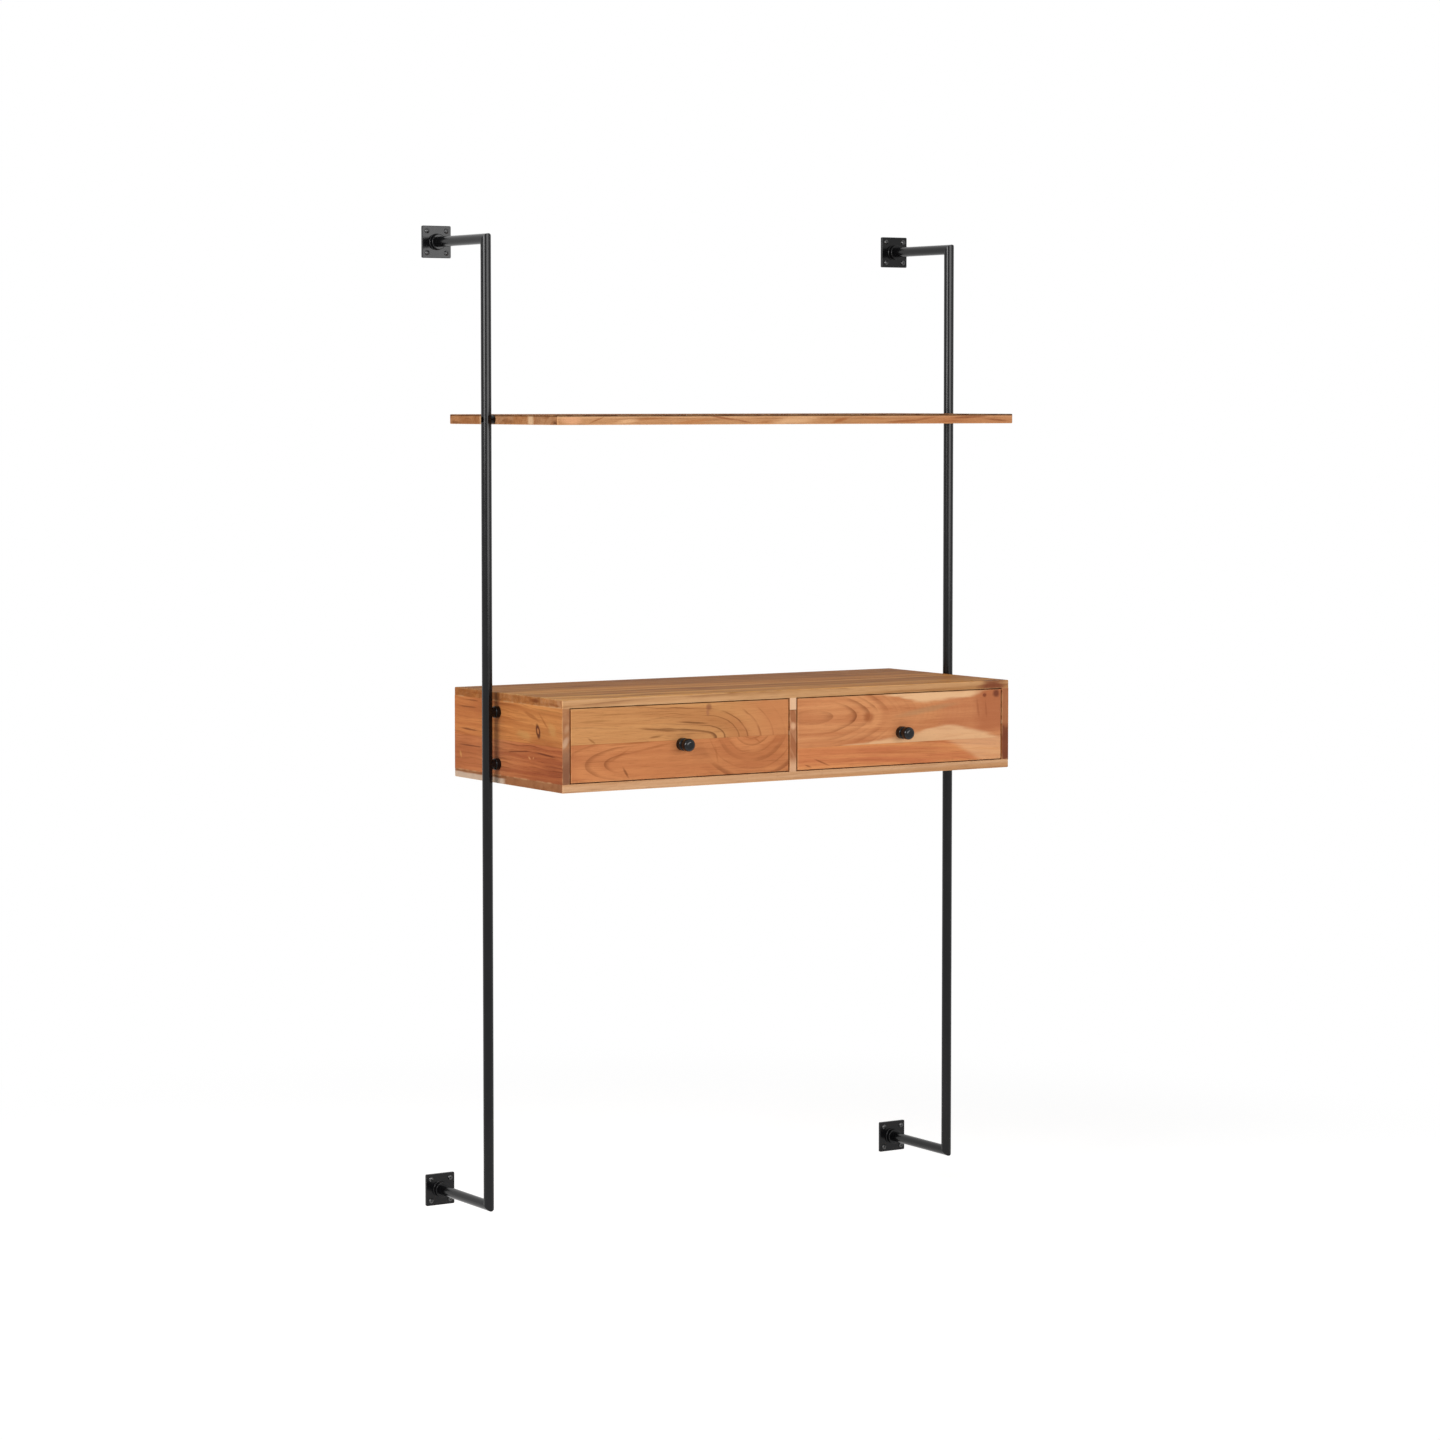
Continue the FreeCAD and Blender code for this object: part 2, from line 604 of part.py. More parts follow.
def desk_divider():
    at = ("-sizes.divider_thick / 2", "places.desk_front", "places.opening_bottom")
    size = ("places.panel_front", "places.opening_height", "sizes.divider_thick")
    body = board("desk_divider", at, "YZ", *size)
    ease(body, "sizes.edge_ease", along_axis("Z"))
    dowel_ends(body, "sizes.divider_thick / 2")
    screw_pilots(body, "0", "+X", "-sizes.runner_screw_stagger / 2")
    screw_pilots(body, "sizes.divider_thick", "-X", "sizes.runner_screw_stagger / 2")


def desk_back_panel():
    edge = "places.panel_edge"
    back = "places.desk_front + places.panel_front + sizes.back_thick"
    at = (f"-places.side_inner_x - {edge}", back, f"places.opening_bottom - {edge}")
    width = f"2 * (places.side_inner_x + {edge})"
    height = f"places.opening_height + 2 * {edge}"
    board("desk_back_panel", at, "XZ", width, height, "sizes.back_thick")


def carcass_dowels():
    body = new_body("carcass_dowels", ("0", "places.desk_front", "0"))
    pegs = [circle("sizes.dowel_dia", x, y) for x, y in dowel_rows()]
    pad(body, "XY", "places.opening_bottom - sizes.dowel_board_depth", "+Z", "sizes.dowel_length", pegs)
    pad(body, "XY", "places.opening_top + sizes.dowel_board_depth", "-Z", "sizes.dowel_length", pegs)


def runner_places(side):
    """The two runners of a bay: name, face of the board behind it, way into the bay, shift of screws."""
    stagger = f"{side} * sizes.runner_screw_stagger / 2"
    outer = (f"{side} * places.side_inner_x", -side, "0")
    inner = (f"{side} * sizes.divider_thick / 2", side, stagger)
    return (("outer", *outer), ("inner", *inner))


def drawer_runner(label, face, way, shift):
    """A wooden strip with two counterbored screw holes, fixed to the side of a bay."""
    at = (face, "places.desk_front", "places.runner_bottom")
    body = new_body(label, at)
    along = "+X" if way > 0 else "-X"
    front = "places.runner_front"
    strip = rectangle(front, "0", f"{front} + places.runner_length", "sizes.runner_height")
    pad(body, "YZ", "0", along, "places.runner_thick", [strip])
    ease(body, "sizes.edge_ease", in_plane("X", f"{way} * places.runner_thick"))
    spots = [(y, "sizes.runner_height / 2") for y in screw_places(shift)]
    holes = [circle("places.runner_screw_hole", *spot) for spot in spots]
    pocket(body, "YZ", "0", along, "places.runner_thick + sizes.cut_overrun", holes)
    recesses = [circle("places.runner_recess_dia", *spot) for spot in spots]
    seat = f"{way} * places.runner_screw_seat"
    pocket(body, "YZ", seat, along, "sizes.runner_screw_recess + sizes.cut_overrun", recesses)


def runner_screws():
    """Two screws in each runner, with their heads below its face."""
    body = new_body("runner_screws", ("0", "places.desk_front", "places.runner_bottom"))
    for _, side in LEFT_AND_RIGHT:
        for _, face, way, shift in runner_places(side):
            along, against = ("+X", "-X") if way > 0 else ("-X", "+X")
            spots = [(y, "sizes.runner_height / 2") for y in screw_places(shift)]
            seat = f"{face} + {way} * places.runner_screw_seat"
            heads = [circle("sizes.runner_screw_head_dia", *spot) for spot in spots]
            pad(body, "YZ", seat, along, "sizes.runner_screw_head_height", heads)
            shanks = [circle("sizes.runner_screw_dia", *spot) for spot in spots]
            reach = "places.runner_screw_seat + sizes.runner_screw_bite"
            pad(body, "YZ", seat, against, reach, shanks)


def drawer_dowel_heights():
    return ("sizes.drawer_dowel_low", "places.drawer_dowel_top")


def drawer_front(name, side):
    at = (f"{side} * places.bay_x - places.front_width / 2", "places.front_back", "places.front_bottom")
    label = f"{name}_drawer_front"
    body = board(label, at, "XZ", "places.front_width", "places.front_height", "sizes.front_thick")
    ease(body, "sizes.front_ease", in_plane("Y", "-sizes.front_thick"))
    middle = "places.front_width / 2"
    reach = "places.box_inside / 2 + sizes.drawer_groove_depth"
    rise = "sizes.drawer_side_rise"
    low, high = (f"{rise} + places.bottom_{end}" for end in ("low", "high"))
    groove = rectangle(f"{middle} - ({reach})", low, f"{middle} + {reach}", high)
    pocket(body, "XZ", "0", "-Y", "sizes.drawer_groove_depth", [groove])
    column = "(places.box_width - sizes.drawer_side_thick) / 2"
    spots = [(f"{middle} {sign} {column}", f"{rise} + {z}") for sign in "-+" for z in drawer_dowel_heights()]
    holes = [circle("places.drawer_dowel_hole", x, z) for x, z in spots]
    pocket(body, "XZ", "0", "-Y", "sizes.drawer_dowel_front_depth + sizes.hole_end_play", holes)
    screw_hole = circle("places.knob_screw_hole", middle, "places.knob_height")
    pocket(body, "XZ", "0", "-Y", "sizes.front_thick + sizes.cut_overrun", [screw_hole])


def drawer_side(name, side, hand_name, hand):
    """A drawer's side, grooved outside for its runner and inside for the drawer's bottom."""
    half = "places.box_width / 2"
    left = f"-{half}" if hand < 0 else f"{half} - sizes.drawer_side_thick"
    at = (f"{side} * places.bay_x + {left}", "places.front_back", "places.box_bottom")
    label = f"{name}_drawer_{hand_name}_side"
    body = board(label, at, "YZ", "places.box_length", "places.box_height", "sizes.drawer_side_thick")
    ease(body, "sizes.edge_ease", in_plane("Z", "places.box_height"))
    thick = "sizes.drawer_side_thick"
    outer, inner = ("0", thick) if hand < 0 else (thick, "0")
    inwards, outwards = ("+X", "-X") if hand < 0 else ("-X", "+X")
    rear = "places.box_length + sizes.cut_overrun"
    slide = rectangle("sizes.runner_stop_length", "places.slide_low", rear, "places.slide_high")
    pocket(body, "YZ", outer, inwards, "places.slide_depth", [slide])
    groove = rectangle("-sizes.cut_overrun", "places.bottom_low", rear, "places.bottom_high")
    pocket(body, "YZ", inner, outwards, "sizes.drawer_groove_depth", [groove])
    front_holes = [circle("places.drawer_dowel_hole", f"{thick} / 2", z) for z in drawer_dowel_heights()]
    pocket(body, "XZ", "0", "+Y", "sizes.drawer_dowel_side_depth + sizes.hole_end_play", front_holes)
    y = "places.back_dowel_y"
    back_holes = [circle("places.drawer_dowel_hole", y, z) for z in drawer_dowel_heights()]
    pocket(body, "YZ", inner, outwards, "sizes.drawer_dowel_wall_depth + sizes.hole_end_play", back_holes)


def drawer_back(name, side):
    back = "places.front_back + places.box_length"
    at = (f"{side} * places.bay_x - places.box_inside / 2", back, "places.box_bottom + places.back_low")
    size = ("places.box_inside", "places.back_height", "sizes.drawer_back_thick")
    body = board(f"{name}_drawer_back", at, "XZ", *size)
    heights = [f"{z} - places.back_low" for z in drawer_dowel_heights()]
    holes = [circle("places.drawer_dowel_hole", "-sizes.drawer_back_thick / 2", z) for z in heights]
    depth = "sizes.drawer_dowel_back_depth + sizes.hole_end_play"
    pocket(body, "YZ", "0", "+X", depth, holes)
    pocket(body, "YZ", "places.box_inside", "-X", depth, holes)


def drawer_bottom(name, side):
    edge = "places.bottom_edge"
    left = f"{side} * places.bay_x - places.box_inside / 2 - {edge}"
    at = (left, f"places.front_back - {edge}", "places.box_bottom + sizes.drawer_bottom_rise")
    size = (f"places.box_inside + 2 * {edge}", f"places.box_length + {edge}", "sizes.drawer_bottom_thick")
    board(f"{name}_drawer_bottom", at, "XY", *size)


def drawer_dowels(name, side):
    """Four dowels into the drawer's front and four into the ends of its back."""
    at = (f"{side} * places.bay_x", "places.front_back", "places.box_bottom")
    body = new_body(f"{name}_drawer_dowels", at)
    column = "(places.box_width - sizes.drawer_side_thick) / 2"
    length = "sizes.drawer_dowel_front_depth + sizes.drawer_dowel_side_depth"
    pegs = [circle("sizes.drawer_dowel_dia", column, z) for z in drawer_dowel_heights()]
    front_pegs = pad(body, "XZ", "-sizes.drawer_dowel_front_depth", "+Y", length, pegs)
    wall = "places.box_inside / 2 + sizes.drawer_dowel_wall_depth"
    length = "sizes.drawer_dowel_wall_depth + sizes.drawer_dowel_back_depth"
    pegs = [circle("sizes.drawer_dowel_dia", "places.back_dowel_y", z) for z in drawer_dowel_heights()]
    back_pegs = pad(body, "YZ", wall, "-X", length, pegs)
    mirror(body, [front_pegs, back_pegs], "YZ")


def drawer_knob(name, side):
    """A spool-shaped knob, turned about Y, with a blind hole for its screw."""
    at = (f"{side} * places.bay_x", "places.desk_front", "places.front_bottom + places.knob_height")
    body = new_body(f"{name}_drawer_knob", at)
    bore = "places.knob_screw_hole / 2"
    base, neck, head = (f"sizes.knob_{part}_dia / 2" for part in ("base", "neck", "head"))
    flange = "-sizes.knob_base_thick"
    shoulder = "-places.knob_shoulder"
    tip = "-sizes.knob_length"
    profile = (
        (bore, "0"),
        (base, "0"),
        (base, flange),
        (neck, flange),
        (neck, shoulder),
        (head, shoulder),
        (head, tip),
        ("0", tip),
        ("0", "-places.knob_bore_depth"),
        (bore, "-places.knob_bore_depth"),
    )
    feature = body.newObject("PartDesign::Revolution", f"{body.Label}_turning")
    feature.Profile = sketch_at(body, "XY", "0", [outline(*profile)])
    feature.ReferenceAxis = (feature.Profile[0], ["V_Axis"])
    doc.recompute()
    head_size, neck_size, base_size = (f"sizes.knob_{part}_dia" for part in ("head", "neck", "base"))
    ease(body, f"{KNOB_HEAD_FRONT_SHARE} * sizes.knob_head_thick", rim(head_size, "Y", tip))
    ease(body, f"{KNOB_HEAD_BACK_SHARE} * sizes.knob_head_thick", rim(head_size, "Y", shoulder))
    ease(body, f"{KNOB_BASE_SHARE} * sizes.knob_base_thick", rim(base_size, "Y", flange))
    step = "(sizes.knob_base_dia - sizes.knob_neck_dia) / 2"
    neck_rims = [rim(neck_size, "Y", place) for place in (flange, shoulder)]
    ease(body, f"{KNOB_NECK_SHARE} * {step}", *neck_rims)


def knob_screw(name, side):
    at = (f"{side} * places.bay_x", "places.front_back", "places.front_bottom + places.knob_height")
    body = new_body(f"{name}_knob_screw", at)
    pad(body, "XZ", "0", "+Y", "sizes.knob_screw_head_height", [circle("sizes.knob_screw_head_dia")])
    ease(
        body,
        f"{BOLT_HEAD_SHARE} * sizes.knob_screw_head_height",
        rim("sizes.knob_screw_head_dia", "Y", "sizes.knob_screw_head_height"),
    )
    reach = "sizes.front_thick + sizes.knob_screw_bite"
    pad(body, "XZ", "0", "-Y", reach, [circle("sizes.knob_screw_dia")])


def drawer(name, side):
    drawer_front(name, side)
    for hand_name, hand in LEFT_AND_RIGHT:
        drawer_side(name, side, hand_name, hand)
    drawer_back(name, side)
    drawer_bottom(name, side)
    drawer_dowels(name, side)
    drawer_knob(name, side)
    knob_screw(name, side)


def steel_frame():
    for name, side in LEFT_AND_RIGHT:
        upright_tube(name, side)
        for level_name, level in BOTTOM_AND_TOP:
            arm_tube(name, side, level_name, level)
            wall_flange(name, side, level_name, level)
        desk_standoffs(name, side)
        shelf_spacer(name, side)
    desk_bolts()
    desk_washers()
    shelf_bolts()
    shelf_inserts()


def desk_box():
    cap_board("desk_top", "places.opening_top", "sizes.top_thick", "sizes.top_thick", "0", "+Z")
    cap_board("desk_bottom", "places.desk_bottom", "sizes.bottom_thick", "0", "sizes.bottom_thick", "-Z")
    for name, side in LEFT_AND_RIGHT:
        desk_side(name, side)
        for runner, face, way, shift in runner_places(side):
            drawer_runner(f"{name}_bay_{runner}_runner", face, way, shift)
    desk_divider()
    desk_back_panel()
    carcass_dowels()
    runner_screws()


def check_document():
    """Stops at the first object that failed and at the first piece without a sound shape."""
    for item in doc.Objects:
        if {"Invalid", "Error"} & set(item.State):
            raise ValueError(f"{item.Label} failed: {item.State}")
    for body in nodes:
        if body.Shape.isNull() or not body.Shape.isValid():
            raise ValueError(f"{body.Label} has no sound shape")


def write_parts():
    os.makedirs("parts", exist_ok=True)
    for body in nodes:
        body.Shape.exportStep(os.path.join("parts", f"{body.Label}.step"))


steel_frame()
wall_shelf()
desk_box()
for drawer_name, drawer_bay in LEFT_AND_RIGHT:
    drawer(drawer_name, drawer_bay)
doc.recompute()
check_document()
write_parts()
print(f"{len(nodes)} nodes, {sum(len(body.Shape.Solids) for body in nodes)} solids")
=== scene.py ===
import json
import math

import bmesh
import bpy
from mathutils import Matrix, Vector


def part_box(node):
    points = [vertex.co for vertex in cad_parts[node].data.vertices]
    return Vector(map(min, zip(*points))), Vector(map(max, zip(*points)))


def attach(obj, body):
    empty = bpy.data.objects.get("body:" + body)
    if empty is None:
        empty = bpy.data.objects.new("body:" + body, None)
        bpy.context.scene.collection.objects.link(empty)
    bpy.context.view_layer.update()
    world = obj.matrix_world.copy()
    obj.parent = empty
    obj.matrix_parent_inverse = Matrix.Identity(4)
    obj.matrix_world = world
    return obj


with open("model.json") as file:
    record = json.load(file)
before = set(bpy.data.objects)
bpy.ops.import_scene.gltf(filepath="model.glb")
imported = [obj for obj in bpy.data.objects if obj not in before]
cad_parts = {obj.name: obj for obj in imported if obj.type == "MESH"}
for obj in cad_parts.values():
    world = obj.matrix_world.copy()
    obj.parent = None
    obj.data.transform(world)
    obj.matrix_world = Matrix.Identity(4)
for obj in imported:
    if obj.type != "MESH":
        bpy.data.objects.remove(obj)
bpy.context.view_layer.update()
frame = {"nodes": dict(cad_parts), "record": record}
NODES = frame["nodes"]
MM = 1000.0  # millimetres in a metre
WHITE = (1.0, 1.0, 1.0, 1.0)
TURN_SOFTNESS = 30.0  # millimetres over which growth lines bend round an eye


class Wire:
    """One socket of a finish. Arithmetic on wires adds Math nodes."""

    def __init__(self, tree, socket=None):
        self.tree = tree
        self.socket = socket

    def node(self, kind, settings, sockets, out=0):
        """Adds a node of that kind: its settings first, then each socket's value or link."""
        made = self.tree.nodes.new(kind)
        for name, setting in settings.items():
            if name == "stops":
                set_stops(made.color_ramp, setting)
            else:
                setattr(made, name, setting)
        for name, value in sockets.items():
            if isinstance(value, Wire):
                self.tree.links.new(value.socket, made.inputs[name])
            else:
                made.inputs[name].default_value = value
        return Wire(self.tree, made.outputs[out] if made.outputs else None)

    def other(self, out):
        """Another output of the node that this wire comes from."""
        return Wire(self.tree, self.socket.node.outputs[out])

    def math(self, operation, *values):
        return self.node("ShaderNodeMath", {"operation": operation}, dict(enumerate(values)))

    def __add__(self, value):
        return self.math("ADD", self, value)

    __radd__ = __add__

    def __sub__(self, value):
        return self.math("SUBTRACT", self, value)

    def __rsub__(self, value):
        return self.math("SUBTRACT", value, self)

    def __mul__(self, value):
        return self.math("MULTIPLY", self, value)

    __rmul__ = __mul__

    def __truediv__(self, value):
        return self.math("DIVIDE", self, value)

    def __rtruediv__(self, value):
        return self.math("DIVIDE", value, self)

    def __pow__(self, value):
        return self.math("POWER", self, value)

    def __abs__(self):
        return self.math("ABSOLUTE", self)

    def least(self, value):
        return self.math("MINIMUM", self, value)

    def most(self, value):
        return self.math("MAXIMUM", self, value)

    def rise(self, low, high):
        """Climbs smoothly from 0 at low to 1 at high, or falls where low is the larger."""
        ends = {"Value": self, "From Min": low, "From Max": high}
        return self.node("ShaderNodeMapRange", {"interpolation_type": "SMOOTHSTEP"}, ends)


def set_stops(ramp, stops):
    """Stops of a ramp as (position, level) pairs."""
    ramp.interpolation = "CARDINAL"
    ramp.elements.remove(ramp.elements[1])
    for number, (position, level) in enumerate(stops):
        element = ramp.elements[0] if number == 0 else ramp.elements.new(position)
        element.position = position
        element.color = (level, level, level, 1.0)


def tint(code):
    """A colour written as six hex digits, in the shader's own scale."""
    parts = [int(code[start:start + 2], 16) / 255 for start in (0, 2, 4)]
    return tuple(p / 12.92 if p <= 0.04045 else ((p + 0.055) / 1.055) ** 2.4 for p in parts) + (1.0,)


def blend(mask, under, over, way="MIX"):
    """Lays one colour over another where the mask is 1."""
    wire = next(value for value in (mask, under, over) if isinstance(value, Wire))
    settings = {"data_type": "RGBA", "blend_type": way}
    return wire.node("ShaderNodeMix", settings, {0: mask, 6: under, 7: over}, 2)


def new_finish(name):
    finish = bpy.data.materials.new(name)
    finish.use_nodes = True
    finish.node_tree.nodes.clear()
    return finish, Wire(finish.node_tree)


def close_finish(wire, colour, roughness, height, relief, **fixed):
    """Ends a finish in its shader; relief is the height of the bump in metres."""
    normal = wire.node("ShaderNodeBump", {}, {"Strength": 1.0, "Distance": relief, "Height": height})
    sockets = {"Base Color": colour, "Roughness": roughness, "Normal": normal}
    sockets.update({name.replace("_", " "): value for name, value in fixed.items()})
    shader = wire.node("ShaderNodeBsdfPrincipled", {}, sockets)
    wire.node("ShaderNodeOutputMaterial", {}, {"Surface": shader})


def millimetres(wire):
    """The part's own x, y and z in millimetres, and the vector of all three."""
    place = wire.node("ShaderNodeTexCoord", {}, {}, "Object")
    spot = wire.node("ShaderNodeVectorMath", {"operation": "SCALE"}, {0: place, "Scale": MM})
    x = wire.node("ShaderNodeSeparateXYZ", {}, {0: spot})
    return {"x": x, "y": x.other(1), "z": x.other(2), "spot": spot}


def cloud(spot, size, seed, detail=2.0, coarse=0.5):
    """Soft noise about 0.5, with spots of that size in millimetres."""
    counts = tuple(1.0 / length for length in size)
    offset = (seed * 7.31, seed * 3.77, seed * 5.13)
    place = spot.node("ShaderNodeVectorMath", {"operation": "MULTIPLY_ADD"}, {0: spot, 1: counts, 2: offset})
    sockets = {"Vector": place, "Scale": 1.0, "Detail": detail, "Roughness": coarse}
    return spot.node("ShaderNodeTexNoise", {"noise_dimensions": "3D"}, sockets)


def wave(value, seed, detail=1.0):
    """Soft noise about 0.5 along one value."""
    sockets = {"W": value + seed * 11.7, "Scale": 1.0, "Detail": detail}
    return value.node("ShaderNodeTexNoise", {"noise_dimensions": "1D"}, sockets)


def chance(value, seed):
    """One level from 0 to 1 for each whole number."""
    return value.node("ShaderNodeTexWhiteNoise", {"noise_dimensions": "1D"}, {"W": value + seed * 3.3})


def profile(along, start, end, low, high, points):
    """A smooth line through (along, level) points, all in millimetres."""
    stops = [((a - start) / (end - start), (level - low) / (high - low)) for a, level in points]
    share = (along - start) / (end - start)
    ramp = share.node("ShaderNodeValToRGB", {"stops": stops}, {0: share})
    return ramp * (high - low) + low


def oval(l, w, middle, half, lean=0.0):
    """Distance from an oval's middle: 1 on its rim."""
    cosine = math.cos(math.radians(lean))
    sine = math.sin(math.radians(lean))
    dl = l - middle[0]
    dw = w - middle[1]
    a = (dl * cosine + dw * sine) / half[0]
    b = (dw * cosine - dl * sine) / half[1]
    return (a * a + b * b) ** 0.5


def add_marks(colour, l, w, ragged, face, rows):
    """Lays stains and streaks on a face: along, across, half length, half width, lean, tint, strength."""
    for along, across, half_length, half_width, lean, code, strength in rows:
        spot = oval(l, w, (along, across), (half_length, half_width), lean) + ragged
        colour = blend(spot.rise(1.0, 0.3) * strength * face, colour, tint(code))
    return colour


def heart_distance(l, w, t, eye):
    """Distance from the tree's heart, where growth lines turn about an eye.

    The eye is (along, across, depth, roundness, way): the lines turn at its way end, or all round for 0.
    """
    along, across, depth, roundness, way = eye
    if way == 0:
        reach = (l - along) * roundness
    else:
        run = (l - along) * way
        reach = (run + (run * run + TURN_SOFTNESS ** 2) ** 0.5) * (0.5 * roundness)
    dw = w - across
    dt = t - depth
    return (dw * dw + reach * reach + dt * dt) ** 0.5


def stave(spot, l, w, t, cut):
    """A board as sawn: its colour, its growth lines and its fibre."""
    seed = cut["seed"]
    drift = (cloud(spot, (380.0, 70.0, 70.0), seed) - 0.5) * cut.get("drift", 14.0)
    ripple = (cloud(spot, (60.0, 16.0, 16.0), seed + 1.0) - 0.5) * cut.get("ripple", 4.0)
    wavy = w + drift + ripple - l * cut.get("lean", 0.0)
    radius = heart_distance(l, wavy, t, cut["eye"])
    if "far_eye" in cut:
        near_end, far_end = cut["turn"]
        far = heart_distance(l, wavy, t, cut["far_eye"])
        radius = radius + (far - radius) * l.rise(near_end, far_end)
    count = (radius / cut["ring"]) ** cut.get("opening", 1.0)
    if "bow" in cut:
        middle, steep = cut["bow"]
        run = l - middle
        count = count + run * run * steep
    count = count + wave(count * 0.7, seed) * 0.9
    year = count.math("FRACT", count)
    mark = chance(count.math("FLOOR", count), seed)
    along_line = cloud(spot, (90.0, 30.0, 30.0), seed + 2.0).rise(0.3, 0.6)
    even = cut.get("even", 0.15)
    line = year.rise(cut.get("fine", 0.5), 0.92) * year.rise(1.0, 0.94) * along_line
    where = cut.get("where", 1.0)
    line = line * (mark * mark * (1.0 - even) + even) * where
    streak = cloud(spot, (240.0, 7.0, 7.0), seed + 3.0, 3.0, 0.55)
    growth = (wave(count * 0.45, seed + 4.0) - 0.5) * where + 0.5
    band = (growth * 0.6 + streak * 0.4).rise(0.36, 0.64)
    colour = blend(band * cut.get("band", 1.0), tint(cut["pale"]), tint(cut["rich"]))
    patch = cloud(spot, (150.0, 42.0, 42.0), seed + 5.0).rise(0.48, 0.74)
    colour = blend(patch * cut.get("patch", 0.5), colour, tint(cut["deep"]))
    fibre = cloud(spot, (26.0, 0.9, 0.9), seed + 6.0, 2.0, 0.6)
    colour = blend(fibre.rise(0.5, 0.74) * 0.3, colour, tint(cut["line"]))
    colour = blend(line * cut.get("lines", 0.6), colour, tint(cut["line"]))
    vein = cloud(spot, (130.0, 3.4, 3.4), seed + 7.0, 2.0, 0.6).rise(0.6, 0.74)
    colour = blend(vein * cut.get("veins", 0.4), colour, tint(cut["line"]))
    return colour, line, fibre


def facing(wire, axis):
    """How squarely a face looks along an axis: -1 to 1."""
    normal = wire.node("ShaderNodeTexCoord", {}, {}, "Normal")
    split = wire.node("ShaderNodeSeparateXYZ", {}, {0: normal})
    return split.other("xyz".index(axis))


def end_grain(wire, grain):
    """1 on faces that cut across the grain."""
    return abs(facing(wire, grain)).rise(0.6, 0.9)


def arris(at, node, width):
    """1 on a board's edges, fading out over that width in millimetres."""
    low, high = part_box(node)
    gaps = []
    for number, axis in enumerate("xyz"):
        gaps.append((at[axis] - low[number] * MM).least(high[number] * MM - at[axis]))
    a, b, c = gaps
    second = a.least(b).most(a.most(b).least(c))
    return second.rise(width, 0.0)


def close_board(wire, at, node, grain, colour, line, fibre,
                end_tone="a8683c", end_pale="b87a4c", end_share=0.62, gloss=0.1):
    """The oiled surface that all the boards share: toned ends, edges lightened partly as rubbed wear and
    partly as a painted highlight, open pores.
    """
    pore_size = tuple(9.0 if axis == grain else 0.5 for axis in "xyz")
    pore = cloud(at["spot"], pore_size, 9.0, 1.0).rise(0.66, 0.76)
    ends = end_grain(wire, grain)
    blotch = cloud(at["spot"], (26.0, 26.0, 26.0), 14.0, 3.0, 0.6).rise(0.4, 0.66)
    colour = blend(ends * end_share, colour, blend(blotch, tint(end_tone), tint(end_pale)))
    colour = blend(pore * 0.28, colour, tint("5a3018"))
    # Lighter patchy edges: partly rubbed wear, partly a painted highlight on the eased arris.
    rubbed_and_highlit = arris(at, node, 2.2) * cloud(at["spot"], (18.0, 18.0, 18.0), 4.0).rise(0.35, 0.65)
    colour = blend(rubbed_and_highlit * 0.3, colour, tint("d9ad7c"))
    roughness = fibre * 0.16 + line * 0.06 + ends * 0.12 + 0.54
    height = fibre * 0.35 - pore * 0.7 - line * 0.25
    close_finish(wire, colour, roughness, height, 0.00012, Specular_IOR_Level=gloss)


def dress(node, finish):
    for slot in NODES[node].material_slots:
        slot.material = finish


def board_wires(node, order):
    """A new finish for a board, with its place along, across and through the grain."""
    finish, wire = new_finish("acacia_" + node)
    at = millimetres(wire)
    dress(node, finish)
    return wire, at, [at[axis] for axis in order]


def glued_staves(wire, at, node, order, cut, tones):
    """Colour, lines and fibre of a board glued from one stave for each tone."""
    l, w, t = (at[axis] for axis in order)
    low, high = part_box(node)
    across, through = ("xyz".index(axis) for axis in order[1:])
    first = low[across] * MM
    width = (high[across] - low[across]) * MM / len(tones)
    share = ((w - first) / width).least(len(tones) - 0.001)
    number = share.math("FLOOR", share)
    pick = chance(number, cut["seed"])
    shift = chance(number, cut["seed"] + 1.0)
    inner = (share - number - 0.5) * width
    moved = l + pick * 900.0
    spot = wire.node("ShaderNodeCombineXYZ", {}, {0: moved, 1: inner + number * 300.0, 2: t})
    middle = (low[through] + high[through]) * MM / 2.0
    eye = (0.0, (shift - 0.5) * cut["spread"], middle - cut["depth"], 0.0, 1)
    colour, line, fibre = stave(spot, moved, inner + (pick - 0.5) * l * 0.05, t, dict(cut, eye=eye))
    shade = tint(tones[0])
    for step, tone in enumerate(tones[1:], 1):
        shade = blend(share.rise(step - 0.004, step + 0.004), shade, tint(tone))
    colour = blend(0.85, colour, shade, "MULTIPLY")
    side = pick - 0.5
    wander = (cloud(spot, (90.0, 12.0, 12.0), 17.0) - 0.5) * 14.0
    rim = inner * side.math("SIGN", side) + wander
    face = 1.0 - end_grain(wire, order[0])
    sapwood = rim.rise(width * 0.5 - 9.0, width * 0.5 - 5.0) * shift.rise(0.45, 0.5) * face
    colour = blend(sapwood * cut.get("sapwood", 0.5), colour, tint("e2bd92"))
    seam = abs(inner).rise(width * 0.5 - 0.35, width * 0.5 - 0.1) * face
    colour = blend(seam * 0.4, colour, tint("6a4022"))
    return colour, line + seam, fibre


def paired_staves(wire, at, order, upper, lower, glue):
    """Colour, lines and fibre of a panel glued from an upper and a lower stave, and 1 on the upper."""
    l, w, t = (at[axis] for axis in order)
    spot = wire.node("ShaderNodeCombineXYZ", {}, {0: l, 1: w, 2: t})
    over = w.rise(glue - 0.2, glue + 0.2)
    colour_up, line_up, fibre_up = stave(spot, l, w, t, upper)
    colour_low, line_low, fibre_low = stave(spot, l, w, t, lower)
    seam = abs(w - glue).rise(0.35, 0.1)
    colour = blend(seam * 0.4, blend(over, colour_low, colour_up), tint("6a3a1c"))
    line = line_low + (line_up - line_low) * over + seam
    fibre = fibre_low + (fibre_up - fibre_low) * over
    return colour, line, fibre, over


